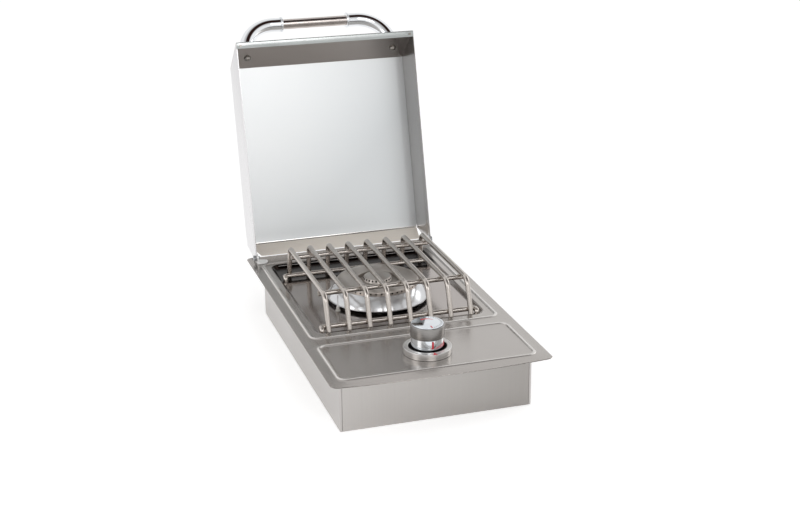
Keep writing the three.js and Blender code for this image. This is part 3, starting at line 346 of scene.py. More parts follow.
# a darker, warmer copy of the lid steel for the inside of the slanted front wall: painted shade
lidFrontShadedSteel = brushedSteel("lidFrontShadedSteel", {
    "grain": (12, 1600, 1600), "dark": (170, 162, 157), "light": (174, 166, 161), "smooth": 0.24,
    "rough": 0.27, "bump": 0.003, "cloudScale": 5, "brushing": (1, 0, 0), "spread": 0.35})
lidRimSteel = brushedSteel("lidRimSteel", {
    "grain": (4, 300, 300), "dark": (152, 156, 155), "light": (186, 189, 188), "smooth": 0.20,
    "rough": 0.26, "bump": 0.02, "cloudScale": 14})
# a pale beige, barely metallic copy of the lid steel for the rear wall: painted light
lidRearLitSteel = brushedSteel("lidRearLitSteel", {
    "grain": (5, 900, 900), "dark": (238, 228, 216), "light": (248, 241, 232), "smooth": 0.20,
    "rough": 0.26, "bump": 0.01, "cloudScale": 12, "metallic": 0.15})
lidBendSteel = brushedSteel("lidBendSteel", {
    "grain": (5, 900, 900), "dark": (228, 226, 222), "light": (236, 234, 230), "smooth": 0.08,
    "rough": 0.11, "bump": 0.004, "wave": 0.2, "waveDepth": 0.0006, "cloudScale": 60})
# a lighter copy of the side steel for the left side plate: painted light; the right plate takes the shaded
# copy below, which darkens upward
lidSideLitSteel = brushedSteel("lidSideLitSteel", {
    "grain": (1600, 1600, 12), "dark": (216, 215, 216), "light": (220, 219, 220), "smooth": 0.24,
    "rough": 0.28, "bump": 0.004, "cloudScale": 5})
lidShadedSteel = brushedSteel("lidShadedSteel", {
    "grain": (1600, 1600, 12), "dark": (174, 171, 170), "light": (180, 177, 176), "smooth": 0.24,
    "rough": 0.28, "bump": 0.004, "cloudScale": 5, "paintedShade": ((0, 0, 1), 0.12, 0.42, (212, 210, 208))})
wireSteel = brushedSteel("wireSteel", {
    "grain": (2500, 2500, 2500), "dark": (184, 177, 171), "light": (194, 188, 182), "smooth": 0.25,
    "rough": 0.28, "bump": 0.004, "cloudScale": 40, "heatTint": (205, 96, 36)})
satinSteel = brushedSteel("satinSteel", {
    "grain": (14, 1600, 1600), "dark": (180, 171, 167), "light": (200, 193, 189), "smooth": 0.16,
    "rough": 0.22, "bump": 0.03, "cloudScale": 50})
chrome = brushedSteel("chrome", {
    "grain": (60, 60, 60), "dark": (226, 228, 231), "light": (236, 238, 240), "smooth": 0.03, "rough": 0.05,
    "bump": 0.004, "cloudScale": 25})
castMetal = brushedSteel("castMetal", {
    "grain": (900, 900, 900), "dark": (122, 116, 110), "light": (160, 154, 148), "smooth": 0.42,
    "rough": 0.6, "bump": 0.5, "bumpDepth": 0.0003, "cloudScale": 40, "metallic": 0.85})
brass = brushedSteel("brass", {
    "grain": (600, 600, 90), "dark": (168, 132, 74), "light": (202, 166, 100), "smooth": 0.24,
    "rough": 0.38, "bump": 0.15, "cloudScale": 60})
zinc = brushedSteel("zinc", {
    "grain": (500, 500, 500), "dark": (150, 152, 154), "light": (182, 184, 186), "smooth": 0.32,
    "rough": 0.48, "bump": 0.2, "cloudScale": 70, "metallic": 0.9})
burnerSteel = turnedSteel("burnerSteel", {
    "ringScale": 1500, "dark": (190, 183, 177), "light": (202, 196, 190), "smooth": 0.28, "rough": 0.34,
    "bump": 0.03, "spread": 0.5}, burnerAxis)
dishChrome = turnedSteel("dishChrome", {
    "ringScale": 300, "dark": (218, 219, 221), "light": (226, 227, 229), "smooth": 0.16, "rough": 0.20,
    "bump": 0.006, "metallic": 0.6}, burnerAxis)
# near-white and hardly metallic: the bright sheen of the hinge brackets and igniter pin painted into their
# tone
bracketPaintedSheen = turnedSteel("bracketPaintedSheen", {
    "ringScale": 200, "dark": (250, 250, 250), "light": (254, 254, 254), "smooth": 0.20, "rough": 0.26,
    "bump": 0.006, "metallic": 0.1}, burnerAxis)
boltSteel = turnedSteel("boltSteel", {
    "ringScale": 300, "dark": (132, 127, 122), "light": (150, 146, 141), "smooth": 0.14, "rough": 0.18,
    "bump": 0.01}, burnerAxis)
knobSteel = turnedSteel("knobSteel", {
    "ringScale": 1500, "dark": (190, 188, 186), "light": (208, 206, 204), "smooth": 0.26, "rough": 0.32,
    "bump": 0.03, "spread": 0.5}, knobAxis)
knobMirror = turnedSteel("knobMirror", {
    "ringScale": 200, "dark": (212, 217, 222), "light": (222, 226, 230), "smooth": 0.06, "rough": 0.09,
    "bump": 0.004}, knobAxis)
knobSatin = turnedSteel("knobSatin", {
    "ringScale": 1500, "dark": (136, 133, 131), "light": (150, 148, 146), "smooth": 0.26, "rough": 0.32,
    "bump": 0.03, "spread": 0.5}, knobAxis)
ceramic = enamel("ceramic", (206, 203, 197), 0.3)
redMark = enamel("redMark", (214, 44, 60), 0.35)
darkMark = enamel("darkMark", (58, 60, 64), 0.4)
# near-black painted shade for the insides of the burner ports and the bezel's bore
paintedHoleShade = enamel("paintedHoleShade", (34, 28, 26), 0.7)


# Mesh helpers
def linkMesh(name, mesh):
    piece = bpy.data.objects.new(name, mesh)
    bpy.context.scene.collection.objects.link(piece)
    return piece


def fromFaces(name, points, faces):
    mesh = bpy.data.meshes.new(name)
    mesh.from_pydata([tuple(point) for point in points], [], faces)
    return linkMesh(name, mesh)


def bake(piece):  # modifiers become plain mesh
    depsgraph = bpy.context.evaluated_depsgraph_get()
    mesh = bpy.data.meshes.new_from_object(piece.evaluated_get(depsgraph))
    name = piece.name
    bpy.data.objects.remove(piece)
    mesh.name = name
    return linkMesh(name, mesh)


def outwards(piece):
    work = bmesh.new()
    work.from_mesh(piece.data)
    bmesh.ops.remove_doubles(work, verts=work.verts, dist=0.001 * mm)
    bmesh.ops.recalc_face_normals(work, faces=work.faces)
    work.to_mesh(piece.data)
    work.free()


def dress(piece, material, body, slotName, *nodes, angle=35):
    if material:
        piece.data.materials.clear()
        piece.data.materials.append(material)
    piece.data.polygons.foreach_set("use_smooth", [True] * len(piece.data.polygons))
    piece.data.set_sharp_from_angle(angle=math.radians(angle))
    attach(piece, body)
    if nodes:
        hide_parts(*nodes)


def rounded(corners, radii, steps):  # an open line whose inner corners become arcs
    points = [corners[0]]
    for before, corner, after, radius in zip(corners, corners[1:], corners[2:], radii):
        back, onward = (before - corner).normalized(), (after - corner).normalized()
        half = back.angle(onward) / 2
        middle = corner + (back + onward).normalized() * radius / math.sin(half)
        reach = radius / math.tan(half)
        start, end = corner + back * reach - middle, corner + onward * reach - middle
        sweep = start.angle(end)
        for share in (part / steps for part in range(steps + 1)):
            arm = start * math.sin((1 - share) * sweep) + end * math.sin(share * sweep)
            points.append(middle + arm / math.sin(sweep))
    return points + [corners[-1]]


def softEdge(piece, width):
    edge = piece.modifiers.new("soft edge", "BEVEL")
    edge.width = width
    edge.segments = 2
    edge.limit_method = "ANGLE"
    edge.angle_limit = math.radians(40)


def circleAt(centre, radius, sides):
    return [Vector((centre[0] + math.cos(at / sides * math.tau) * radius,
                    centre[1] + math.sin(at / sides * math.tau) * radius)) for at in range(sides)]


def turnedPiece(name, outline, sides, centre=(0, 0)):  # an outline of radius and height, turned once round
    points, rings = [], []
    for radius, height in outline:
        turned = circleAt(centre, radius, sides) if radius > 0.001 * mm else [centre]
        rings.append(range(len(points), len(points) + len(turned)))
        points += [(*point, height) for point in turned]
    faces = []
    for low, high in zip(rings, rings[1:] + rings[:1]):
        if len(low) == 1 and len(high) == 1:
            continue
        for side in range(sides):
            after = (side + 1) % sides
            if len(low) == 1:
                faces.append((low[0], high[after], high[side]))
            elif len(high) == 1:
                faces.append((low[side], low[after], high[0]))
            else:
                faces.append((low[side], low[after], high[after], high[side]))
    piece = fromFaces(name, points, faces)
    outwards(piece)
    return piece


def plate2d(name, outline, low, high):  # a thin plate from an outline in the plane
    count = len(outline)
    points = [(*point, height) for height in (low, high) for point in outline]
    faces = [(at, (at + 1) % count, (at + 1) % count + count, at + count) for at in range(count)]
    faces += [tuple(range(count - 1, -1, -1)), tuple(range(count, 2 * count))]
    piece = fromFaces(name, points, faces)
    outwards(piece)
    return piece


def plainBlock(low, high, bevel=0.0):
    outline = [(low[0], low[1]), (high[0], low[1]), (high[0], high[1]), (low[0], high[1])]
    block = plate2d("block", outline, low[2], high[2])
    if bevel:
        softEdge(block, bevel)
        block = bake(block)
    return block


def joinPieces(name, pieces):
    work = bmesh.new()
    for piece in pieces:
        work.from_mesh(piece.data)
    materials = list(pieces[0].data.materials)
    for piece in pieces:
        bpy.data.objects.remove(piece)
    mesh = bpy.data.meshes.new(name)
    work.to_mesh(mesh)
    work.free()
    for material in materials:
        mesh.materials.append(material)
    return linkMesh(name, mesh)


def arcTo(start, end, bulge, steps):  # points on a shallow arc between two outline points
    start, end = Vector(start), Vector(end)
    side = Vector((end.y - start.y, start.x - end.x)).normalized()
    return [tuple(start.lerp(end, at / steps) + side * bulge * 4 * (at / steps) * (1 - at / steps))
            for at in range(steps + 1)]


# Geometry node trees
def newTree(name, inputs):
    tree = bpy.data.node_groups.new(name, "GeometryNodeTree")
    for label, kind in (("Geometry", "Geometry"), *inputs, ("Material", "Material")):
        tree.interface.new_socket(label, in_out="INPUT", socket_type="NodeSocket" + kind)
    tree.interface.new_socket("Geometry", in_out="OUTPUT", socket_type="NodeSocketGeometry")
    return tree, step(tree, "NodeGroupInput").outputs


def closeTree(tree, start, instances):  # the instances become mesh in the tree's material
    real = step(tree, "GeometryNodeRealizeInstances", [("Geometry", instances)])
    dyed = step(tree, "GeometryNodeSetMaterial", [("Geometry", real), ("Material", start["Material"])])
    step(tree, "NodeGroupOutput", [("Geometry", dyed)])
    return tree


def grow(name, tree, base, values):  # runs a tree on a base mesh and keeps the plain result
    modifier = base.modifiers.new("grow", "NODES")
    modifier.node_group = tree
    for item in tree.interface.items_tree:
        if item.in_out == "INPUT" and item.name in values:
            modifier[item.identifier] = values[item.name]
    piece = bake(base)
    piece.name = piece.data.name = name
    return piece


def pathBase(points, bends=()):  # a line of edges, with the bend radius of each inner corner
    mesh = bpy.data.meshes.new("path")
    edges = [(at, at + 1) for at in range(len(points) - 1)]
    mesh.from_pydata([tuple(point) for point in points], edges, [])
    radii = mesh.attributes.new("bend", "FLOAT", "POINT")
    radii.data.foreach_set("value", [0.0, *bends, 0.0] if bends else [0.0] * len(points))
    return linkMesh("path", mesh)


def wireTree():
    tree, start = newTree("bent wire", [
        ("Radius", "Float"), ("Sides", "Int"), ("Bend steps", "Int"), ("Copies", "Int"),
        ("Pitch", "Vector")])
    bend = step(tree, "GeometryNodeInputNamedAttribute", [("Name", "bend")], data_type="FLOAT")
    line = step(tree, "GeometryNodeMeshToCurve", [("Mesh", start["Geometry"])])
    fillet = step(tree, "GeometryNodeFilletCurve", [
        ("Curve", line), ("Radius", bend.outputs["Attribute"]), ("Count", start["Bend steps"])], mode="POLY")
    circle = step(tree, "GeometryNodeCurvePrimitiveCircle", [
        ("Resolution", start["Sides"]), ("Radius", start["Radius"])])
    tube = step(tree, "GeometryNodeCurveToMesh", [
        ("Curve", fillet), ("Profile Curve", circle), ("Fill Caps", True)])
    row = step(tree, "GeometryNodeMeshLine", [("Count", start["Copies"]), ("Offset", start["Pitch"])])
    copies = step(tree, "GeometryNodeInstanceOnPoints", [("Points", row), ("Instance", tube)])
    return closeTree(tree, start, copies)


def ringTree():  # copies of a small shape set out in a circle, each turned with its place
    tree, start = newTree("set out in a ring", [
        ("Count", "Int"), ("Radius", "Float"), ("First angle", "Float"), ("Sweep", "Float"),
        ("Centre", "Vector")])
    points = step(tree, "GeometryNodePoints", [("Count", start["Count"])])
    share = maths(tree, "DIVIDE", step(tree, "GeometryNodeInputIndex"), start["Count"])
    angle = maths(tree, "MULTIPLY_ADD", share, start["Sweep"], start["First angle"])
    turn = step(tree, "ShaderNodeCombineXYZ", [("Z", angle)])
    copies = step(tree, "GeometryNodeInstanceOnPoints", [
        ("Points", points), ("Instance", start["Geometry"])])
    reach = step(tree, "ShaderNodeCombineXYZ", [("X", start["Radius"])])
    outward = step(tree, "GeometryNodeTranslateInstances", [
        ("Instances", copies), ("Translation", reach), ("Local Space", True)])
    turned = step(tree, "GeometryNodeRotateInstances", [
        ("Instances", outward), ("Rotation", turn), ("Pivot Point", (0, 0, 0)), ("Local Space", False)])
    moved = step(tree, "GeometryNodeTranslateInstances", [
        ("Instances", turned), ("Translation", start["Centre"]), ("Local Space", False)])
    return closeTree(tree, start, moved)


def spotTree():  # small flattened beads at the points of a base mesh
    tree, start = newTree("beads at points", [("Radius", "Float"), ("Squash", "Vector")])
    ball = step(tree, "GeometryNodeMeshIcoSphere", [("Radius", start["Radius"]), ("Subdivisions", 3)])
    copies = step(tree, "GeometryNodeInstanceOnPoints", [
        ("Points", start["Geometry"]), ("Instance", ball), ("Scale", start["Squash"])])
    return closeTree(tree, start, copies)


bentWire = wireTree()
setInRing = ringTree()
beadsAtPoints = spotTree()

# Counter plate: one sheet with two pressed beads, the sunken pan and a front edge that droops a little
plate = metres({
    "sheet": 1.15, "corner": 8.0, "edgeRound": 0.5, "droop": 3.4, "droopPower": 1.35, "bowPower": 2.6,
    "beadWidth": 8.0, "beadHeight": 1.6, "beadCorner": 11.0, "beadSide": 17.2, "beadFront": 19.0,
    "panelDepth": 116.0, "bridge": 26.0, "beadRear": 38.0, "beadSteps": 10, "beadCrown": 2.5,
    "panSide": 10.3, "panFront": 15.0, "panRear": 4.4, "panCorner": 17.0, "panDepth": 5.3, "panSlope": 7.4,
    "panRearSlope": 8.2, "panSteps": 14, "panRoundShare": 0.24, "floorShare": 0.99,
    "holeRadius": 70.0, "holeSides": 144, "holeLip": 1.0, "lipRings": (0.35, 0.7, 1.1, 1.6, 2.2),
    "stemHole": 8.0, "stemSides": 32, "hookClear": 0.9, "hookSides": 28, "pinHole": 2.9, "pinSides": 24,
    # the grid's points keep these shares of its pitch from what is drawn by rings
    "grid": 7.0, "cornerSteps": 10, "edgeClear": 0.4, "ringClear": 0.3, "holeClear": 0.45,
    "shares": ("panRoundShare", "floorShare", "droopPower", "bowPower", "edgeClear", "ringClear",
               "holeClear")})


def roundedRamp(share, ends):  # 0 to 1, straight in the middle and rounded at both ends
    rise = 1 / (1 - ends)
    if share < ends:
        return rise * share ** 2 / (2 * ends)
    if share > 1 - ends:
        return 1 - rise * (1 - share) ** 2 / (2 * ends)
    return rise * (share - ends / 2)


def areaRing(area, offset):  # points along an area's outline, an offset outside it
    half, front, rear, corner = area
    radius = max(corner + offset, 0.01 * mm)
    centres = [(half - corner, rear - corner), (corner - half, rear - corner),
               (corner - half, front + corner), (half - corner, front + corner)]
    ring = []
    for quarter, (x, y) in enumerate(centres):
        for at in range(plate["cornerSteps"] + 1):
            angle = (quarter + at / plate["cornerSteps"]) * math.pi / 2
            ring.append(Vector((x + math.cos(angle) * radius, y + math.sin(angle) * radius)))
    full = []
    for here, after in zip(ring, ring[1:] + ring[:1]):
        parts = max(1, round((after - here).length / plate["grid"]))
        full += [here.lerp(after, part / parts) for part in range(parts)]
    return full


def areaDistance(point, area):  # how far outside the area's outline a point lies, negative inside
    half, front, rear, corner = area
    x = abs(point.x) - (half - corner)
    y = abs(point.y - (front + rear) / 2) - ((rear - front) / 2 - corner)
    return math.hypot(max(x, 0), max(y, 0)) + min(max(x, y), 0) - corner


def plateAreas():  # half width, front, rear and corner radius: outline, both beads, pan and its floor
    low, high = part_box("counter_plate")
    beadHalf = high.x - plate["beadSide"]
    panelFront = low.y + plate["beadFront"]
    panelBead = (beadHalf, panelFront, panelFront + plate["panelDepth"], plate["beadCorner"])
    panBead = (beadHalf, panelBead[2] + plate["bridge"], high.y - plate["beadRear"], plate["beadCorner"])
    pan = (beadHalf - plate["panSide"], panBead[1] + plate["panFront"], panBead[2] - plate["panRear"],
           plate["panCorner"])
    slope = plate["panSlope"]
    panFloor = (pan[0] - slope, pan[1] + slope, pan[2] - plate["panRearSlope"], pan[3] - slope)
    return (high.x, low.y, high.y, plate["corner"]), (panelBead, panBead), pan, panFloor


def plateHeight(point, level, areas):  # the level is that of the plain sheet between the beads
    outline, beads, pan, panFloor = areas
    half = plate["beadWidth"] / 2
    for away in (abs(areaDistance(point, bead)) for bead in beads):
        if away < half:
            level += plate["beadHeight"] * (0.5 + 0.5 * math.cos(math.pi * away / half))
    inside, before = max(0, -areaDistance(point, pan)), max(0, areaDistance(point, panFloor))
    depth = inside / (inside + before) if inside else 0
    level -= plate["panDepth"] * roundedRamp(depth, plate["panRoundShare"])
    margin = beads[0][1] - half
    if point.y < margin:
        bow = 1 - (abs(point.x) / outline[0]) ** plate["bowPower"]
        level -= plate["droop"] * bow * ((margin - point.y) / (margin - outline[1])) ** plate["droopPower"]
    level -= plate["edgeRound"] * max(0, 1 + areaDistance(point, outline) / plate["edgeRound"]) ** 2
    if depth > plate["floorShare"]:  # on the pan's floor, whose hole has a lip that turns down
        lip = math.hypot(point.x - burnerAxis[0], point.y - burnerAxis[1]) - plate["holeRadius"]
        level -= plate["holeLip"] * max(0, 1 - lip / (2 * plate["holeLip"])) ** 2
    return level


def addCounterPlate():
    areas = plateAreas()
    outline, beads, pan, panFloor = areas
    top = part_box("counter_plate")[1].z - plate["beadHeight"]
    spacing = plate["grid"]
    half = plate["beadWidth"] / 2
    rings = [areaRing(outline, 0), areaRing(outline, -plate["edgeRound"])]
    for bead in beads:
        rings += [areaRing(bead, half * (2 * at / plate["beadSteps"] - 1))
                  for at in range(plate["beadSteps"] + 1)]
    for at in range(plate["panSteps"] + 1):
        share = at / plate["panSteps"]
        rings.append(areaRing([high + (low - high) * share for high, low in zip(pan, panFloor)], 0))
    holes = [(burnerAxis, plate["holeRadius"], plate["holeSides"]),
             (knobAxis, plate["stemHole"], plate["stemSides"])]
    rings += [circleAt(*hole) for hole in holes]
    rings += [circleAt(burnerAxis, plate["holeRadius"] + extra * plate["holeLip"], plate["holeSides"])
              for extra in plate["lipRings"]]
    for name in ("grate_lower_bar_front", "grate_lower_bar_rear"):
        low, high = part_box(name)
        wire = grate["radius"]
        holes += [((side * (high.x - wire), low.y + wire), wire + plate["hookClear"], plate["hookSides"])
                  for side in (-1, 1)]
    holes.append((axisOf("igniter_insulator"), plate["pinHole"], plate["pinSides"]))
    rings += [circleAt(*hole) for hole in holes[2:]]
    points, edges = [], []
    for ring in rings:
        first = len(points)
        points += ring
        edges += [(first + at, first + (at + 1) % len(ring)) for at in range(len(ring))]
    width, length = 2 * outline[0], outline[2] - outline[1]
    columns, rows = int(width / spacing), int(length / spacing)
    discs = [(Vector(hole[0]), hole[1]) for hole in holes]
    ringClear = spacing * plate["ringClear"]
    for column in range(1, columns):
        for row in range(1, rows):
            spot = Vector((-outline[0] + column * width / columns, outline[1] + row * length / rows))
            nearBead = any(abs(areaDistance(spot, bead)) < half + ringClear for bead in beads)
            nearPan = areaDistance(spot, pan) < ringClear and areaDistance(spot, panFloor) > -ringClear
            nearHole = any((spot - centre).length < radius + spacing * plate["holeClear"]
                           for centre, radius in discs)
            inside = areaDistance(spot, outline) < -spacing * plate["edgeClear"]
            if inside and not (nearBead or nearPan or nearHole):
                points.append(spot)
    surface = geometry.delaunay_2d_cdt(points, edges, [], 0, 0.0001 * mm)
    places, triangles = surface[0], surface[2]
    kept = []
    for face in triangles:
        middle = sum((places[at] for at in face), Vector((0, 0))) / len(face)
        inHole = any((middle - centre).length < radius for centre, radius in discs)
        if areaDistance(middle, outline) <= 0 and not inHole:
            kept.append(tuple(face))
    piece = fromFaces("counterPlate", [(*place, plateHeight(place, top, areas)) for place in places], kept)
    work = bmesh.new()
    work.from_mesh(piece.data)
    bmesh.ops.delete(work, geom=[vert for vert in work.verts if not vert.link_faces], context="VERTS")
    bmesh.ops.recalc_face_normals(work, faces=work.faces)
    if sum(face.normal.z for face in work.faces) < 0:
        bmesh.ops.reverse_faces(work, faces=work.faces)
    work.to_mesh(piece.data)
    work.free()
    solid = piece.modifiers.new("thickness", "SOLIDIFY")
    solid.thickness = plate["sheet"]
    solid.offset = -1
    piece = bake(piece)
    for material in (plateSteel, panSteel, beadHighlightSteel):
        piece.data.materials.append(material)
    for face in piece.data.polygons:
        crown = any(abs(areaDistance(face.center.xy, bead)) < plate["beadCrown"] for bead in beads)
        if areaDistance(face.center.xy, pan) < 0:
            face.material_index = 1
        else:
            # upward bead crowns take the lighter bead finish, a painted highlight
            face.material_index = 2 if crown and face.normal.z > 0 else 0
    dress(piece, None, "housing", "plate_steel", "counter_plate", angle=32)


# Grate: bent rods and the bars welded across them
grate = metres({
    "radius": 3.65, "frontLean": 19.0, "rearLean": 11.0, "frontBend": 16.0, "rearBend": 9.0,
    "hookBend": 3.9, "hookFront": 8.5, "hookRear": 8.0, "rods": 8, "sides": 20, "bendSteps": 14,
    "hookSteps": 8, "weldRadius": 2.1, "weldShape": (1.35, 1.0, 0.8), "heatReach": 11.0,
    "hookHeat": 32.0, "heatPower": 1.2, "shares": ("heatPower",)})


def paintHeat(piece, spots):  # strongest at each spot, gone at its reach
    values = []
    for vert in piece.data.vertices:
        nearest = max(1 - (vert.co - spot).length / reach for spot, reach in spots)
        values.append(max(0.0, nearest) ** grate["heatPower"])
    heat = piece.data.attributes.new("heat", "FLOAT", "POINT")
    heat.data.foreach_set("value", values)


def addGrate():
    radius = grate["radius"]
    low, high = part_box("grate_rod_1")
    lastLow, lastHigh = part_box(f"grate_rod_{grate['rods']}")
    top = high.z - radius
    rise = top - low.z
    frontTurn, rearTurn = (math.hypot(grate[name], rise) / rise for name in ("frontLean", "rearLean"))
    frontFoot = low.y + radius * frontTurn
    rearFoot = high.y - radius * rearTurn
    frontLift = radius * grate["frontLean"] / rise / frontTurn  # a leg's end is cut square to the leg
    rearLift = radius * grate["rearLean"] / rise / rearTurn
    first = (low.x + high.x) / 2
    pitch = ((lastLow.x + lastHigh.x) / 2 - first) / (grate["rods"] - 1)
    path = [(first, frontFoot + frontLift * grate["frontLean"] / rise, low.z + frontLift),
            (first, frontFoot + grate["frontLean"], top), (first, rearFoot - grate["rearLean"], top),
            (first, rearFoot - rearLift * grate["rearLean"] / rise, low.z + rearLift)]
    wire = {"Radius": radius, "Sides": grate["sides"], "Bend steps": grate["bendSteps"],
            "Copies": grate["rods"], "Pitch": (pitch, 0, 0), "Material": wireSteel}
    rods = grow("grateRods", bentWire, pathBase(path, [grate["frontBend"], grate["rearBend"]]), wire)
    single = {**wire, "Bend steps": grate["hookSteps"], "Copies": 1}
    bars, crossings, spots = [], [], []
    for end, side, hook, reach in (("front", -1, grate["hookFront"], grate["heatReach"]),
                                   ("rear", 1, grate["hookRear"], grate["hookHeat"])):
        low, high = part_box(f"grate_upper_bar_{end}")
        y, z = (low.y + high.y) / 2, (low.z + high.z) / 2
        bars.append(grow("bar", bentWire, pathBase([(low.x, y, z), (high.x, y, z)]), single))
        crossings += [Vector((first + pitch * at, y, z + radius)) for at in range(grate["rods"])]
        low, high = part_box(f"grate_lower_bar_{end}")
        edge, z = high.x - radius, high.z - radius
        y, tip = high.y - radius, high.y - radius - hook
        line = [(-edge, tip, low.z), (-edge, tip, z), (-edge, y, z), (edge, y, z), (edge, tip, z),
                (edge, tip, low.z)]
        bars.append(grow("bar", bentWire, pathBase(line, [grate["hookBend"]] * 4), single))
        crossings += [Vector((first + pitch * at, y + side * radius, z)) for at in range(grate["rods"])]
        spots += [(Vector((x, y, z)), reach) for x in (-edge, edge)]
    barPiece = joinPieces("grateBars", bars)
    beads = grow("grateWelds", beadsAtPoints, fromFaces("spots", crossings, []), {
        "Radius": grate["weldRadius"], "Squash": grate["weldShape"], "Material": wireSteel})
    spots += [(spot, grate["heatReach"]) for spot in crossings]
    for piece in (rods, barPiece, beads):
        paintHeat(piece, spots)
    names = [f"grate_rod_{number + 1}" for number in range(grate["rods"])]
    dress(rods, wireSteel, "grate", "wire_steel", *names)
    dress(barPiece, wireSteel, "grate", "wire_steel", "grate_upper_bar_front", "grate_upper_bar_rear",
          "grate_lower_bar_front", "grate_lower_bar_rear")
    dress(beads, wireSteel, "grate", "wire_steel")


# Burner: ring cap, centre cap and the dish round them
burner = metres({
    "ringHole": 31.3, "ringWall": 3.0, "ringCrown": 1.6, "ringRound": 1.4, "ringBulge": 0.35,
    "ringBevel": 0.6, "ringPorts": 48, "portRadius": 1.4, "portDrop": 3.1, "portReach": 7.2, "portSides": 12,
    "centreSeat": 17.0, "centreTaper": 2.0, "centreTop": 1.0, "centreCrown": 1.4, "centreEdge": 1.0,
    "centreBulge": 0.1, "centrePorts": 24, "centrePortDrop": 2.6, "centreSides": 96,
    "dishSheet": 0.9, "dishInner": 56.3, "dishEdge": 58.8, "dishLip": 2.2, "dishHollow": 0.9,
    "dishRound": 0.5, "dishInset": 0.36, "dishShoulder": 0.81, "dishFlat": 0.18, "sides": 144,
    "centreLine": ((0.3, 0.6), (1.0, 0.4), (1.4, 0.35))})  # shares of the centre's edge and top


def drillPorts(name, body, count, radius, height):
    drill = plate2d("drill", circleAt((0, 0), burner["portRadius"], burner["portSides"]),
                    -burner["portReach"] / 2, burner["portReach"] / 2)
    drill.data.transform(Matrix.Rotation(math.pi / 2, 4, "Y"))
    drills = grow("drills", setInRing, drill, {
        "Count": count, "Radius": radius, "First angle": math.pi / count, "Sweep": math.tau,
        "Centre": (*burnerAxis, height), "Material": paintedHoleShade})
    body.data.materials.append(burnerSteel)
    # the ports' walls take the drills' near-black finish: painted shade inside the holes
    cut = body.modifiers.new("ports", "BOOLEAN")
    cut.operation = "DIFFERENCE"
    cut.material_mode = "TRANSFER"
    cut.object = drills
    cut.solver = "EXACT"
    piece = bake(body)
    bpy.data.objects.remove(drills)
    piece.name = piece.data.name = name
    return piece


def addBurner():
    low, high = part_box("burner_ring_cap")
    outer = (high.x - low.x) / 2
    hole, wall, crown, soft = (burner[name] for name in ("ringHole", "ringWall", "ringCrown", "ringRound"))
    bevel = burner["ringBevel"]
    outline = [(hole, low.z), (hole + wall, low.z), (hole + wall, high.z - crown),
               (outer - wall, high.z - crown), (outer - wall, low.z), (outer - soft / 2, low.z)]
    outline += arcTo((outer, high.z - soft), (outer - soft, high.z), burner["ringBulge"], 5)
    outline += [(hole + bevel, high.z), (hole, high.z - bevel)]
    ring = turnedPiece("ring", outline, burner["sides"], burnerAxis)
    ring = drillPorts("ringCap", ring, burner["ringPorts"], outer - wall / 2, high.z - burner["portDrop"])
    dress(ring, None, "ring_cap", "satin_steel", "burner_ring_cap")

    low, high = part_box("burner_centre_cap")
    outer = (high.x - low.x) / 2
    seat, top, edge = burner["centreSeat"], burner["centreTop"], burner["centreEdge"]
    bulge, shoulder = burner["centreBulge"], outer - burner["centreTaper"]
    under = high.z - top - burner["centreCrown"]
    outline = [(seat, low.z), (outer, low.z), (shoulder, high.z - top)]
    foot, rim, crown = ((shoulder - out * edge, high.z - down * top) for out, down in burner["centreLine"])
    outline += arcTo(foot, rim, bulge, 3) + arcTo(crown, (0, high.z), bulge, 8)
    outline += [(0, under), (seat, under)]
    centre = turnedPiece("centre", outline, burner["centreSides"], burnerAxis)
    centre = drillPorts("centreCap", centre, burner["centrePorts"], (outer + seat) / 2,
                        high.z - burner["centrePortDrop"])
    dress(centre, None, "centre_cap", "satin_steel", "burner_centre_cap")

    low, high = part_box("burner_dish")
    outer = (high.x - low.x) / 2
    sheet, lip, edge, hollow = (burner[name] for name in ("dishSheet", "dishLip", "dishEdge", "dishHollow"))
    seat, soft = high.z - sheet, sheet / 3
    outline = [(burner["dishInner"], seat), (edge, seat)]
    outline += arcTo((edge + 2 * soft, seat - 2 * soft), (outer - lip, low.z), -hollow, 10)
    outline += [(outer - soft, low.z), (outer, low.z + soft), (outer, low.z + sheet)]
    outline += arcTo((outer - lip + burner["dishInset"], low.z + sheet),
                     (edge + burner["dishShoulder"], high.z - burner["dishRound"]), hollow, 10)
    outline += [(edge + burner["dishFlat"], high.z), (burner["dishInner"], high.z)]
    dish = turnedPiece("burnerDish", outline, burner["sides"], burnerAxis)
    dress(dish, dishChrome, "housing", "chrome", "burner_dish")


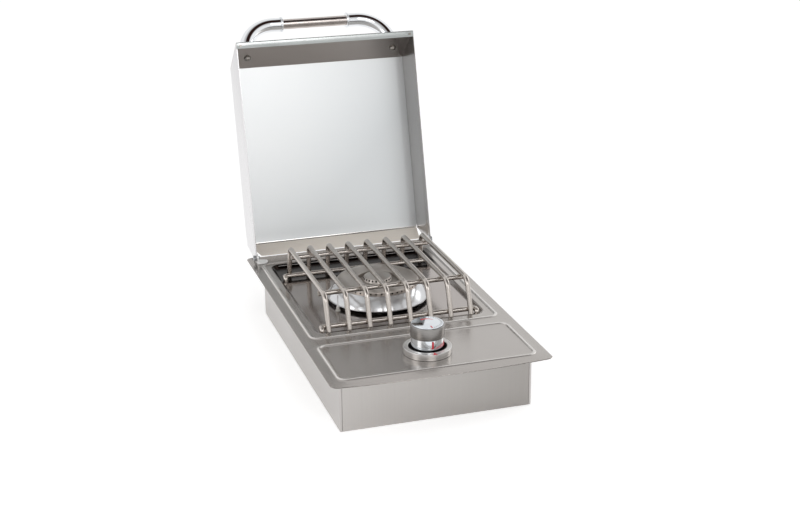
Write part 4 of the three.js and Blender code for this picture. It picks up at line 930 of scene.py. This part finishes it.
# Knob and bezel
knob = metres({
    "bezelBore": 26.0, "bezelFloor": 1.2, "bezelRound": 1.1, "bezelBulge": 0.3, "bezelTaper": 0.7,
    "stemHole": 8.0, "boreRound": 0.8, "boreBulge": 0.25, "boreDark": 0.1,
    "groove": 0.35, "grooveOuter": 2.6, "grooveInner": 1.9, "grooveSlope": 0.2,
    "indexInner": 26.2, "indexOuter": 32.9, "indexHalf": 2.6, "indexDepth": 1.8, "indexLift": 0.02,
    "lowerBand": 16.0, "footBevel": 0.6, "step": 0.8, "stepLine": ((0.2, 0.1), (0.6, 0.3), (0.8, 0.8)),
    "edge": 1.0, "edgeBulge": 0.3, "capEdge": 0.5, "capBulge": 0.15, "sides": 128,
    "markLift": 0.12, "markSink": 0.1, "pointerWidth": 1.7, "pointerStart": 1.0, "pointerEnd": 8.5,
    "pointerLift": 0.168, "pointerBevel": 0.25,
    "ticks": 21, "tickLength": 2.6, "tickWidth": 0.5, "tickInset": 1.6, "dialStart": -90, "dialSweep": 210,
    "sweepRadius": 12.5, "sweepThin": 0.4, "sweepThick": 3.4, "sweepStart": 35, "sweepEnd": 115,
    "sweepSteps": 20,
    "scaleTicks": 9, "scaleStart": -78, "scaleStep": 6, "scaleFoot": 4.4, "scaleLow": 2.0,
    "scaleHigh": 7.4, "scaleWidth": 1.1, "scaleSink": 0.3})


def sweepMark(top):  # a red arc on the dial that grows from thin to thick
    inner, outer = [], []
    for share in (at / knob["sweepSteps"] for at in range(knob["sweepSteps"] + 1)):
        angle = math.radians(knob["sweepStart"] + (knob["sweepEnd"] - knob["sweepStart"]) * share)
        width = knob["sweepThin"] + (knob["sweepThick"] - knob["sweepThin"]) * share
        outward = Vector((math.cos(angle), math.sin(angle)))
        inner.append(Vector(knobAxis) + outward * (knob["sweepRadius"] - width / 2))
        outer.append(Vector(knobAxis) + outward * (knob["sweepRadius"] + width / 2))
    return plate2d("dialSweep", inner + outer[::-1], top - knob["markSink"], top + knob["markLift"])


def scaleMarks(foot, radius):  # a row of upright ticks round the lower band, each taller than the one before
    made = []
    for at in range(knob["scaleTicks"]):
        angle = math.radians(knob["scaleStart"] + knob["scaleStep"] * at)
        tall = knob["scaleLow"] + (knob["scaleHigh"] - knob["scaleLow"]) * at / (knob["scaleTicks"] - 1)
        tick = plainBlock((radius - knob["scaleSink"], -knob["scaleWidth"] / 2, foot),
                          (radius + knob["markLift"], knob["scaleWidth"] / 2, foot + tall))
        tick.data.transform(Matrix.Translation((*knobAxis, 0)) @ Matrix.Rotation(angle, 4, "Z"))
        made.append(tick)
    return joinPieces("bandScale", made)


def addBezel():
    low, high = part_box("knob_bezel")
    outer = (high.x - low.x) / 2
    bore, soft, floor = knob["bezelBore"], knob["bezelRound"], low.z + knob["bezelFloor"]
    groove, slope, inset = high.z - knob["groove"], knob["grooveSlope"], knob["boreRound"]
    outline = [(knob["stemHole"], low.z), (outer - knob["bezelTaper"], low.z)]
    outline += arcTo((outer, high.z - soft), (outer - soft, high.z), knob["bezelBulge"], 5)
    outline += [(outer - knob["grooveOuter"] + slope, high.z), (outer - knob["grooveOuter"], groove),
                (bore + knob["grooveInner"], groove), (bore + knob["grooveInner"] - slope, high.z)]
    outline += arcTo((bore + inset, high.z), (bore, high.z - inset), knob["boreBulge"], 4)
    outline += [(bore, floor), (knob["stemHole"], floor)]
    bezel = turnedPiece("bezel", outline, knob["sides"], knobAxis)
    bezel.data.materials.append(knobSteel)
    bezel.data.materials.append(paintedHoleShade)
    # the bore's faces below its rounded edge take the near-black finish: painted shade in the gap round the
    # knob
    for face in bezel.data.polygons:
        away = (face.center.xy - Vector(knobAxis)).length
        inBore = away < bore + knob["boreDark"] and face.center.z < high.z - inset
        face.material_index = 1 if inBore else 0
    dress(bezel, None, "housing", "satin_steel", "knob_bezel")
    inner, outer, side = knob["indexInner"], knob["indexOuter"], knob["indexHalf"]
    wedge = [Vector((knobAxis[0] + x, knobAxis[1] - away))
             for x, away in ((0, inner), (-side, outer), (side, outer))]
    index = plate2d("bezelIndex", wedge, high.z - knob["indexDepth"], high.z + knob["indexLift"])
    dress(index, redMark, "housing", "pointer_red")


def addKnob():
    low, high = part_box("knob_body")
    outer = (high.x - low.x) / 2
    band, lower = low.z + knob["lowerBand"], outer - knob["step"]
    edge, bevel = knob["edge"], knob["footBevel"]
    outline = [(0, low.z), (lower - bevel, low.z), (lower, low.z + bevel), (lower, band)]
    outline += [(lower + out * mm, band + up * mm) for out, up in knob["stepLine"]]
    outline += arcTo((outer, high.z - edge), (outer - edge, high.z), knob["edgeBulge"], 5)
    outline += [(0, high.z)]
    body = turnedPiece("knobBody", outline, knob["sides"], knobAxis)
    body.data.materials.append(knobSatin)
    body.data.materials.append(knobMirror)
    for face in body.data.polygons:
        face.material_index = 1 if face.center.z < band else 0
    dress(body, None, "knob", "satin_steel", "knob_body")
    dress(scaleMarks(low.z + knob["scaleFoot"], lower), redMark, "knob", "pointer_red")

    low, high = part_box("knob_cap")
    disc, edge = (high.x - low.x) / 2, knob["capEdge"]
    outline = [(0, low.z), (disc, low.z)]
    outline += arcTo((disc, high.z - edge), (disc - edge, high.z), knob["capBulge"], 4)
    outline += [(0, high.z)]
    dress(turnedPiece("knobCap", outline, knob["sides"], knobAxis), knobMirror, "knob", "chrome", "knob_cap")

    count, length, half = knob["ticks"], knob["tickLength"], knob["tickWidth"] / 2
    tick = plainBlock((0, -half, -knob["markSink"]), (length, half, knob["markLift"]))
    ticks = grow("dialTicks", setInRing, tick, {
        "Count": count, "Radius": disc - length - knob["tickInset"],
        "First angle": math.radians(knob["dialStart"]),
        "Sweep": math.radians(knob["dialSweep"] * count / (count - 1)),
        "Centre": (*knobAxis, high.z), "Material": darkMark})
    dress(ticks, darkMark, "knob", "pointer_red")
    half = knob["pointerWidth"] / 2
    line = plainBlock((-half, knob["pointerStart"] - disc, -knob["markSink"]),
                      (half, knob["pointerEnd"] - disc, knob["pointerLift"]))
    line.data.transform(Matrix.Translation((*knobAxis, high.z)))
    line.name = "dialPointer"
    dress(line, redMark, "knob", "pointer_red")
    dress(sweepMark(high.z), redMark, "knob", "pointer_red")
    mark = plainBlock(*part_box("knob_pointer"), knob["pointerBevel"])
    mark.name = "knobPointer"
    dress(mark, redMark, "knob", "pointer_red", "knob_pointer")


# Lid: one bent panel between two side plates, with rivets, handle bolts and the handle
lid = metres({
    "sheet": 1.2, "hingeInset": 4.5, "rimDrop": 7.6, "height": 68.5, "frontSlope": 37.3, "rearSlope": 20.8,
    "rearFoot": 5.5, "rearDrop": 48.5, "rearInset": 12.7, "returnWidth": 10.8, "bend": 1.5, "rearBend": 3.5,
    "bendSteps": 6, "gap": 0.3, "side": 1.2, "edge": 0.3, "across": (-1, -0.9, -0.5, 0, 0.5, 0.9, 1),
    # the mirror-like strip at the rear bend, and how upright a face of the outside stands
    "bendReach": 2.625, "bendDepth": 3.675, "outward": 0.3, "shares": ("outward",)})
# the inside, rear and front of the one sheet take lit and shaded copies of its steel: painted light and
# shade
lidSurfaces = {"inside": lidSteel, "rear": lidRearLitSteel, "front": lidFrontShadedSteel, "rim": lidRimSteel,
               "bend": lidBendSteel, "outside": lidOuterSteel}
hinge = next(joint for joint in frame["joints"] if joint["name"] == "lid_hinge")
lidAngle = math.radians(hinge["range_deg"][1])
lidTurn = Matrix.Translation(hinge["pos_m"]) @ Matrix.Rotation(-lidAngle, 4, "X")


def lidPlace(x, point):  # across, then along from the rear edge and up from the rim
    return lidTurn @ Vector((x, lid["hingeInset"] - point[0], point[1] - lid["rimDrop"]))


def lidLength():  # along the rim, up to the highest place of the panel
    foot = hinge["pos_m"][2] - math.cos(lidAngle) * lid["rimDrop"]
    return lid["hingeInset"] + (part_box("lid_panel")[1].z - foot) / math.sin(lidAngle)


def lidSurface(along, up, facing, length):  # which of the panel's surfaces a place belongs to
    if facing > lid["outward"] and up > lid["returnWidth"]:
        return "outside"
    if along < lid["rearSlope"] + lid["bendReach"] and up > lid["height"] - lid["bendDepth"]:
        return "bend"
    if along < lid["rearSlope"]:
        return "rear"
    if up < lid["sheet"] + lid["bend"] / 3:
        return "rim"
    inFront = along > length - lid["frontSlope"] and up < lid["height"] - lid["bend"] / 3
    return "front" if inFront else "inside"


def addLid():
    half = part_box("lid_panel")[1].x
    tall = lid["height"]
    length = lidLength()
    line = [(length - lid["returnWidth"], 0), (length, 0), (length - lid["frontSlope"], tall),
            (lid["rearSlope"], tall), (lid["rearFoot"], tall - lid["rearDrop"])]
    profile = rounded([Vector(point) for point in line], [lid["bend"], lid["bend"], lid["rearBend"]],
                      lid["bendSteps"])
    wall = len(profile) - lid["bendSteps"] - 2  # the rear bend starts here
    profile.insert(wall, profile[wall] + Vector((lid["returnWidth"], 0)))
    inner = half - lid["side"] - lid["gap"]
    points = []
    for at, point in enumerate(profile):  # the rear wall fits between the sides and narrows to its foot
        drop = (tall - point.y) / lid["rearDrop"]
        reach = half if at <= wall else inner + drop * (half - lid["rearInset"] - inner)
        points += [lidPlace(share * reach, point) for share in lid["across"]]
    row = len(lid["across"])
    corners = [start + at for start in range(0, len(points) - row, row) for at in range(row - 1)]
    panel = fromFaces("lidPanel", points, [(at, at + 1, at + row + 1, at + row) for at in corners])
    solid = panel.modifiers.new("thickness", "SOLIDIFY")
    solid.thickness = lid["sheet"]
    solid.offset = -1
    solid.use_even_offset = True
    softEdge(panel, lid["edge"])
    panel = bake(panel)
    for material in lidSurfaces.values():
        panel.data.materials.append(material)
    slots, toLid = list(lidSurfaces), lidTurn.inverted()
    for face in panel.data.polygons:
        centre = toLid @ face.center
        facing = (toLid.to_3x3() @ face.normal).z
        along, up = lid["hingeInset"] - centre.y, centre.z + lid["rimDrop"]
        face.material_index = slots.index(lidSurface(along, up, facing, length))
    dress(panel, None, "lid", "lid_steel", "lid_panel", angle=24)


handle = metres({
    "fromRim": 48.4, "stand": 57.0, "foot": 119.0, "gap": 0.3, "sides": 40, "bendSteps": 28,
    "elbowRadius": 11.0, "elbowBend": 50.0, "flareRadius": 12.5, "flareHeight": 4.0, "flareEdge": 1.4,
    "flareHollow": 0.5, "collarPlace": 52.4, "collarWidth": 3.5, "collarRadius": 12.5, "collarRound": 0.9,
    "barRadius": 8.0, "barBendSteps": 4, "boltHead": 5.5, "boltDome": 4.0, "boltRim": 0.8,
    "boltBevel": 0.2, "boltBulge": 1.1, "boltSides": 32})


def handleFrame():  # where the handle stands on the slanted front wall
    slant = math.atan2(lid["height"], lid["frontSlope"])
    along = lidLength() - handle["fromRim"] * math.cos(slant)
    up = handle["fromRim"] * math.sin(slant)
    foot = Matrix.Translation((0, lid["hingeInset"] - along, up - lid["rimDrop"]))
    return lidTurn @ foot @ Matrix.Rotation(slant, 4, "X")


def collarOutline():  # a bore and two beads
    half, soft = handle["collarWidth"] / 2, handle["collarRound"]
    bead = [(handle["collarRadius"] - soft + math.cos(angle) * soft, half * (0.5 + 0.5 * math.sin(angle)))
            for angle in (math.radians(degrees) for degrees in range(-80, 81, 20))]
    lower = [(radius, height - half) for radius, height in bead]
    return [(handle["barRadius"], -half), *lower, *bead, (handle["barRadius"], half)]


def addHandle():
    place = handleFrame()
    stand, foot, gap = handle["stand"], handle["foot"], handle["gap"]
    inner = handle["collarPlace"] + handle["collarWidth"]
    rod = {"Sides": handle["sides"], "Copies": 1}
    low = -lid["sheet"] - gap
    head, rim, bevel, dome = (handle[name] for name in ("boltHead", "boltRim", "boltBevel", "boltDome"))
    flareTop = gap + handle["flareHeight"]
    for name, side in (("left", -1), ("right", 1)):
        path = [(side * foot, 0, gap), (side * foot, 0, stand), (side * (inner + gap), 0, stand)]
        elbow = grow("elbow", bentWire, pathBase(path, [handle["elbowBend"]]), {
            **rod, "Radius": handle["elbowRadius"], "Bend steps": handle["bendSteps"], "Material": chrome})
        flare = [(0, gap), (handle["flareRadius"], gap)]
        flare += arcTo((handle["flareRadius"], gap + handle["flareEdge"]),
                       (handle["elbowRadius"], flareTop), -handle["flareHollow"], 6)
        skirt = turnedPiece("flare", [*flare, (0, flareTop)], handle["sides"], (side * foot, 0))
        elbow = joinPieces(f"handleElbow_{name}", [elbow, skirt])
        elbow.data.transform(place)
        dress(elbow, chrome, "lid", "chrome", f"handle_elbow_{name}")
        ring = turnedPiece(f"handleCollar_{name}", collarOutline(), handle["sides"])
        middle = side * (handle["collarPlace"] + handle["collarWidth"] / 2)
        turn = Matrix.Translation((middle, 0, stand)) @ Matrix.Rotation(math.pi / 2, 4, "Y")
        ring.data.transform(place @ turn)
        dress(ring, chrome, "lid", "chrome", f"handle_collar_{name}")
        outline = [(0, low), (head, low), (head, low - rim)]
        outline += arcTo((head - bevel, low - rim - bevel), (0, low - dome), -handle["boltBulge"], 10)
        bolt = turnedPiece(f"handleBolt_{name}", outline, handle["boltSides"], (side * foot, 0))
        bolt.data.transform(place)
        dress(bolt, boltSteel, "lid", "chrome", f"handle_bolt_{name}")
    bar = grow("handleBar", bentWire, pathBase([(-inner, 0, stand), (inner, 0, stand)]), {
        **rod, "Radius": handle["barRadius"], "Bend steps": handle["barBendSteps"], "Material": satinSteel})
    bar.data.transform(place)
    dress(bar, satinSteel, "lid", "satin_steel", "handle_bar")


# Return spring round the stem, built at the length of its part; the real one shortens as the knob is pushed
spring = metres({"wire": 0.45, "steps": 56, "turnSteps": 16, "sides": 8})


def addSpring():
    low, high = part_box("valve_spring")
    centre = (low + high) / 2
    wire = spring["wire"]
    coil = (high.x - low.x) / 2 - wire
    rise = high.z - low.z - 2 * wire
    points = []
    for at in range(spring["steps"] + 1):
        angle = at / spring["turnSteps"] * math.tau
        points.append((centre.x + coil * math.cos(angle), centre.y + coil * math.sin(angle),
                       low.z + wire + rise * at / spring["steps"]))
    piece = grow("valveSpring", bentWire, pathBase(points), {
        "Radius": wire, "Sides": spring["sides"], "Bend steps": 1, "Copies": 1, "Material": zinc})
    dress(piece, zinc, "valve_plug", "zinc", "valve_spring")
    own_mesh(piece)


print("counter plate")
addCounterPlate()
print("grate")
addGrate()
print("burner")
addBurner()
print("knob and spring")
addBezel()
addKnob()
addSpring()
print("lid and handle")
addLid()
addHandle()


# The remaining CAD pieces keep their shape and get softer edges where they show
softWidths = metres({"box": 0.35, "hinge": 0.4, "lid": 0.3, "rivet": 0.2})


def softenedCopy(name, pieceName, material, body, slotName, width):
    mesh = frame["nodes"][name].data.copy()
    piece = linkMesh(pieceName, mesh)
    outwards(piece)
    work = bmesh.new()
    work.from_mesh(mesh)
    bmesh.ops.dissolve_limit(work, angle_limit=math.radians(1), verts=work.verts, edges=work.edges)
    work.to_mesh(mesh)
    work.free()
    softEdge(piece, width)
    dress(bake(piece), material, body, slotName, name, angle=24)


print("box and small parts")
for side in ("front", "rear", "left", "right", "bottom"):
    # the front takes the darker copy of the box steel, a painted shade
    material = boxFrontShadedSteel if side == "front" else boxSteel
    softenedCopy(f"box_{side}", f"box{side.title()}", material, "housing", "box_steel", softWidths["box"])
# the left side plate takes the lit copy and the right the shaded copy: painted light and shade
for side, material in (("left", lidSideLitSteel), ("right", lidShadedSteel)):
    for cadName, pieceName, finish, body, slotName, width in (
            ("hinge_bracket", "hingeBracket", bracketPaintedSheen, "housing", "chrome", softWidths["hinge"]),
            ("hinge_pin", "hingePin", zinc, "housing", "zinc", softWidths["hinge"]),
            ("lid_side", "lidSide", material, "lid", "lid_steel", softWidths["lid"]),
            ("lid_rivet", "lidRivet", boltSteel, "lid", "chrome", softWidths["rivet"])):
        softenedCopy(f"{cadName}_{side}", f"{pieceName}_{side}", finish, body, slotName, width)

carried = (
    (zinc, ("valve_screw_left", "valve_screw_right", "valve_bracket", "valve_stem", "burner_stand")),
    (brass, ("valve_bonnet", "valve_plug", "valve_body", "gas_jet", "gas_inlet", "inlet_nut")),
    (satinSteel, ("gas_pipe",)), (castMetal, ("burner_body",)), (ceramic, ("igniter_insulator",)),
    (bracketPaintedSheen, ("igniter_pin",)))
for material, names in carried:
    for name in names:
        mesh = frame["nodes"][name].data
        mesh.materials.clear()
        mesh.materials.append(material)
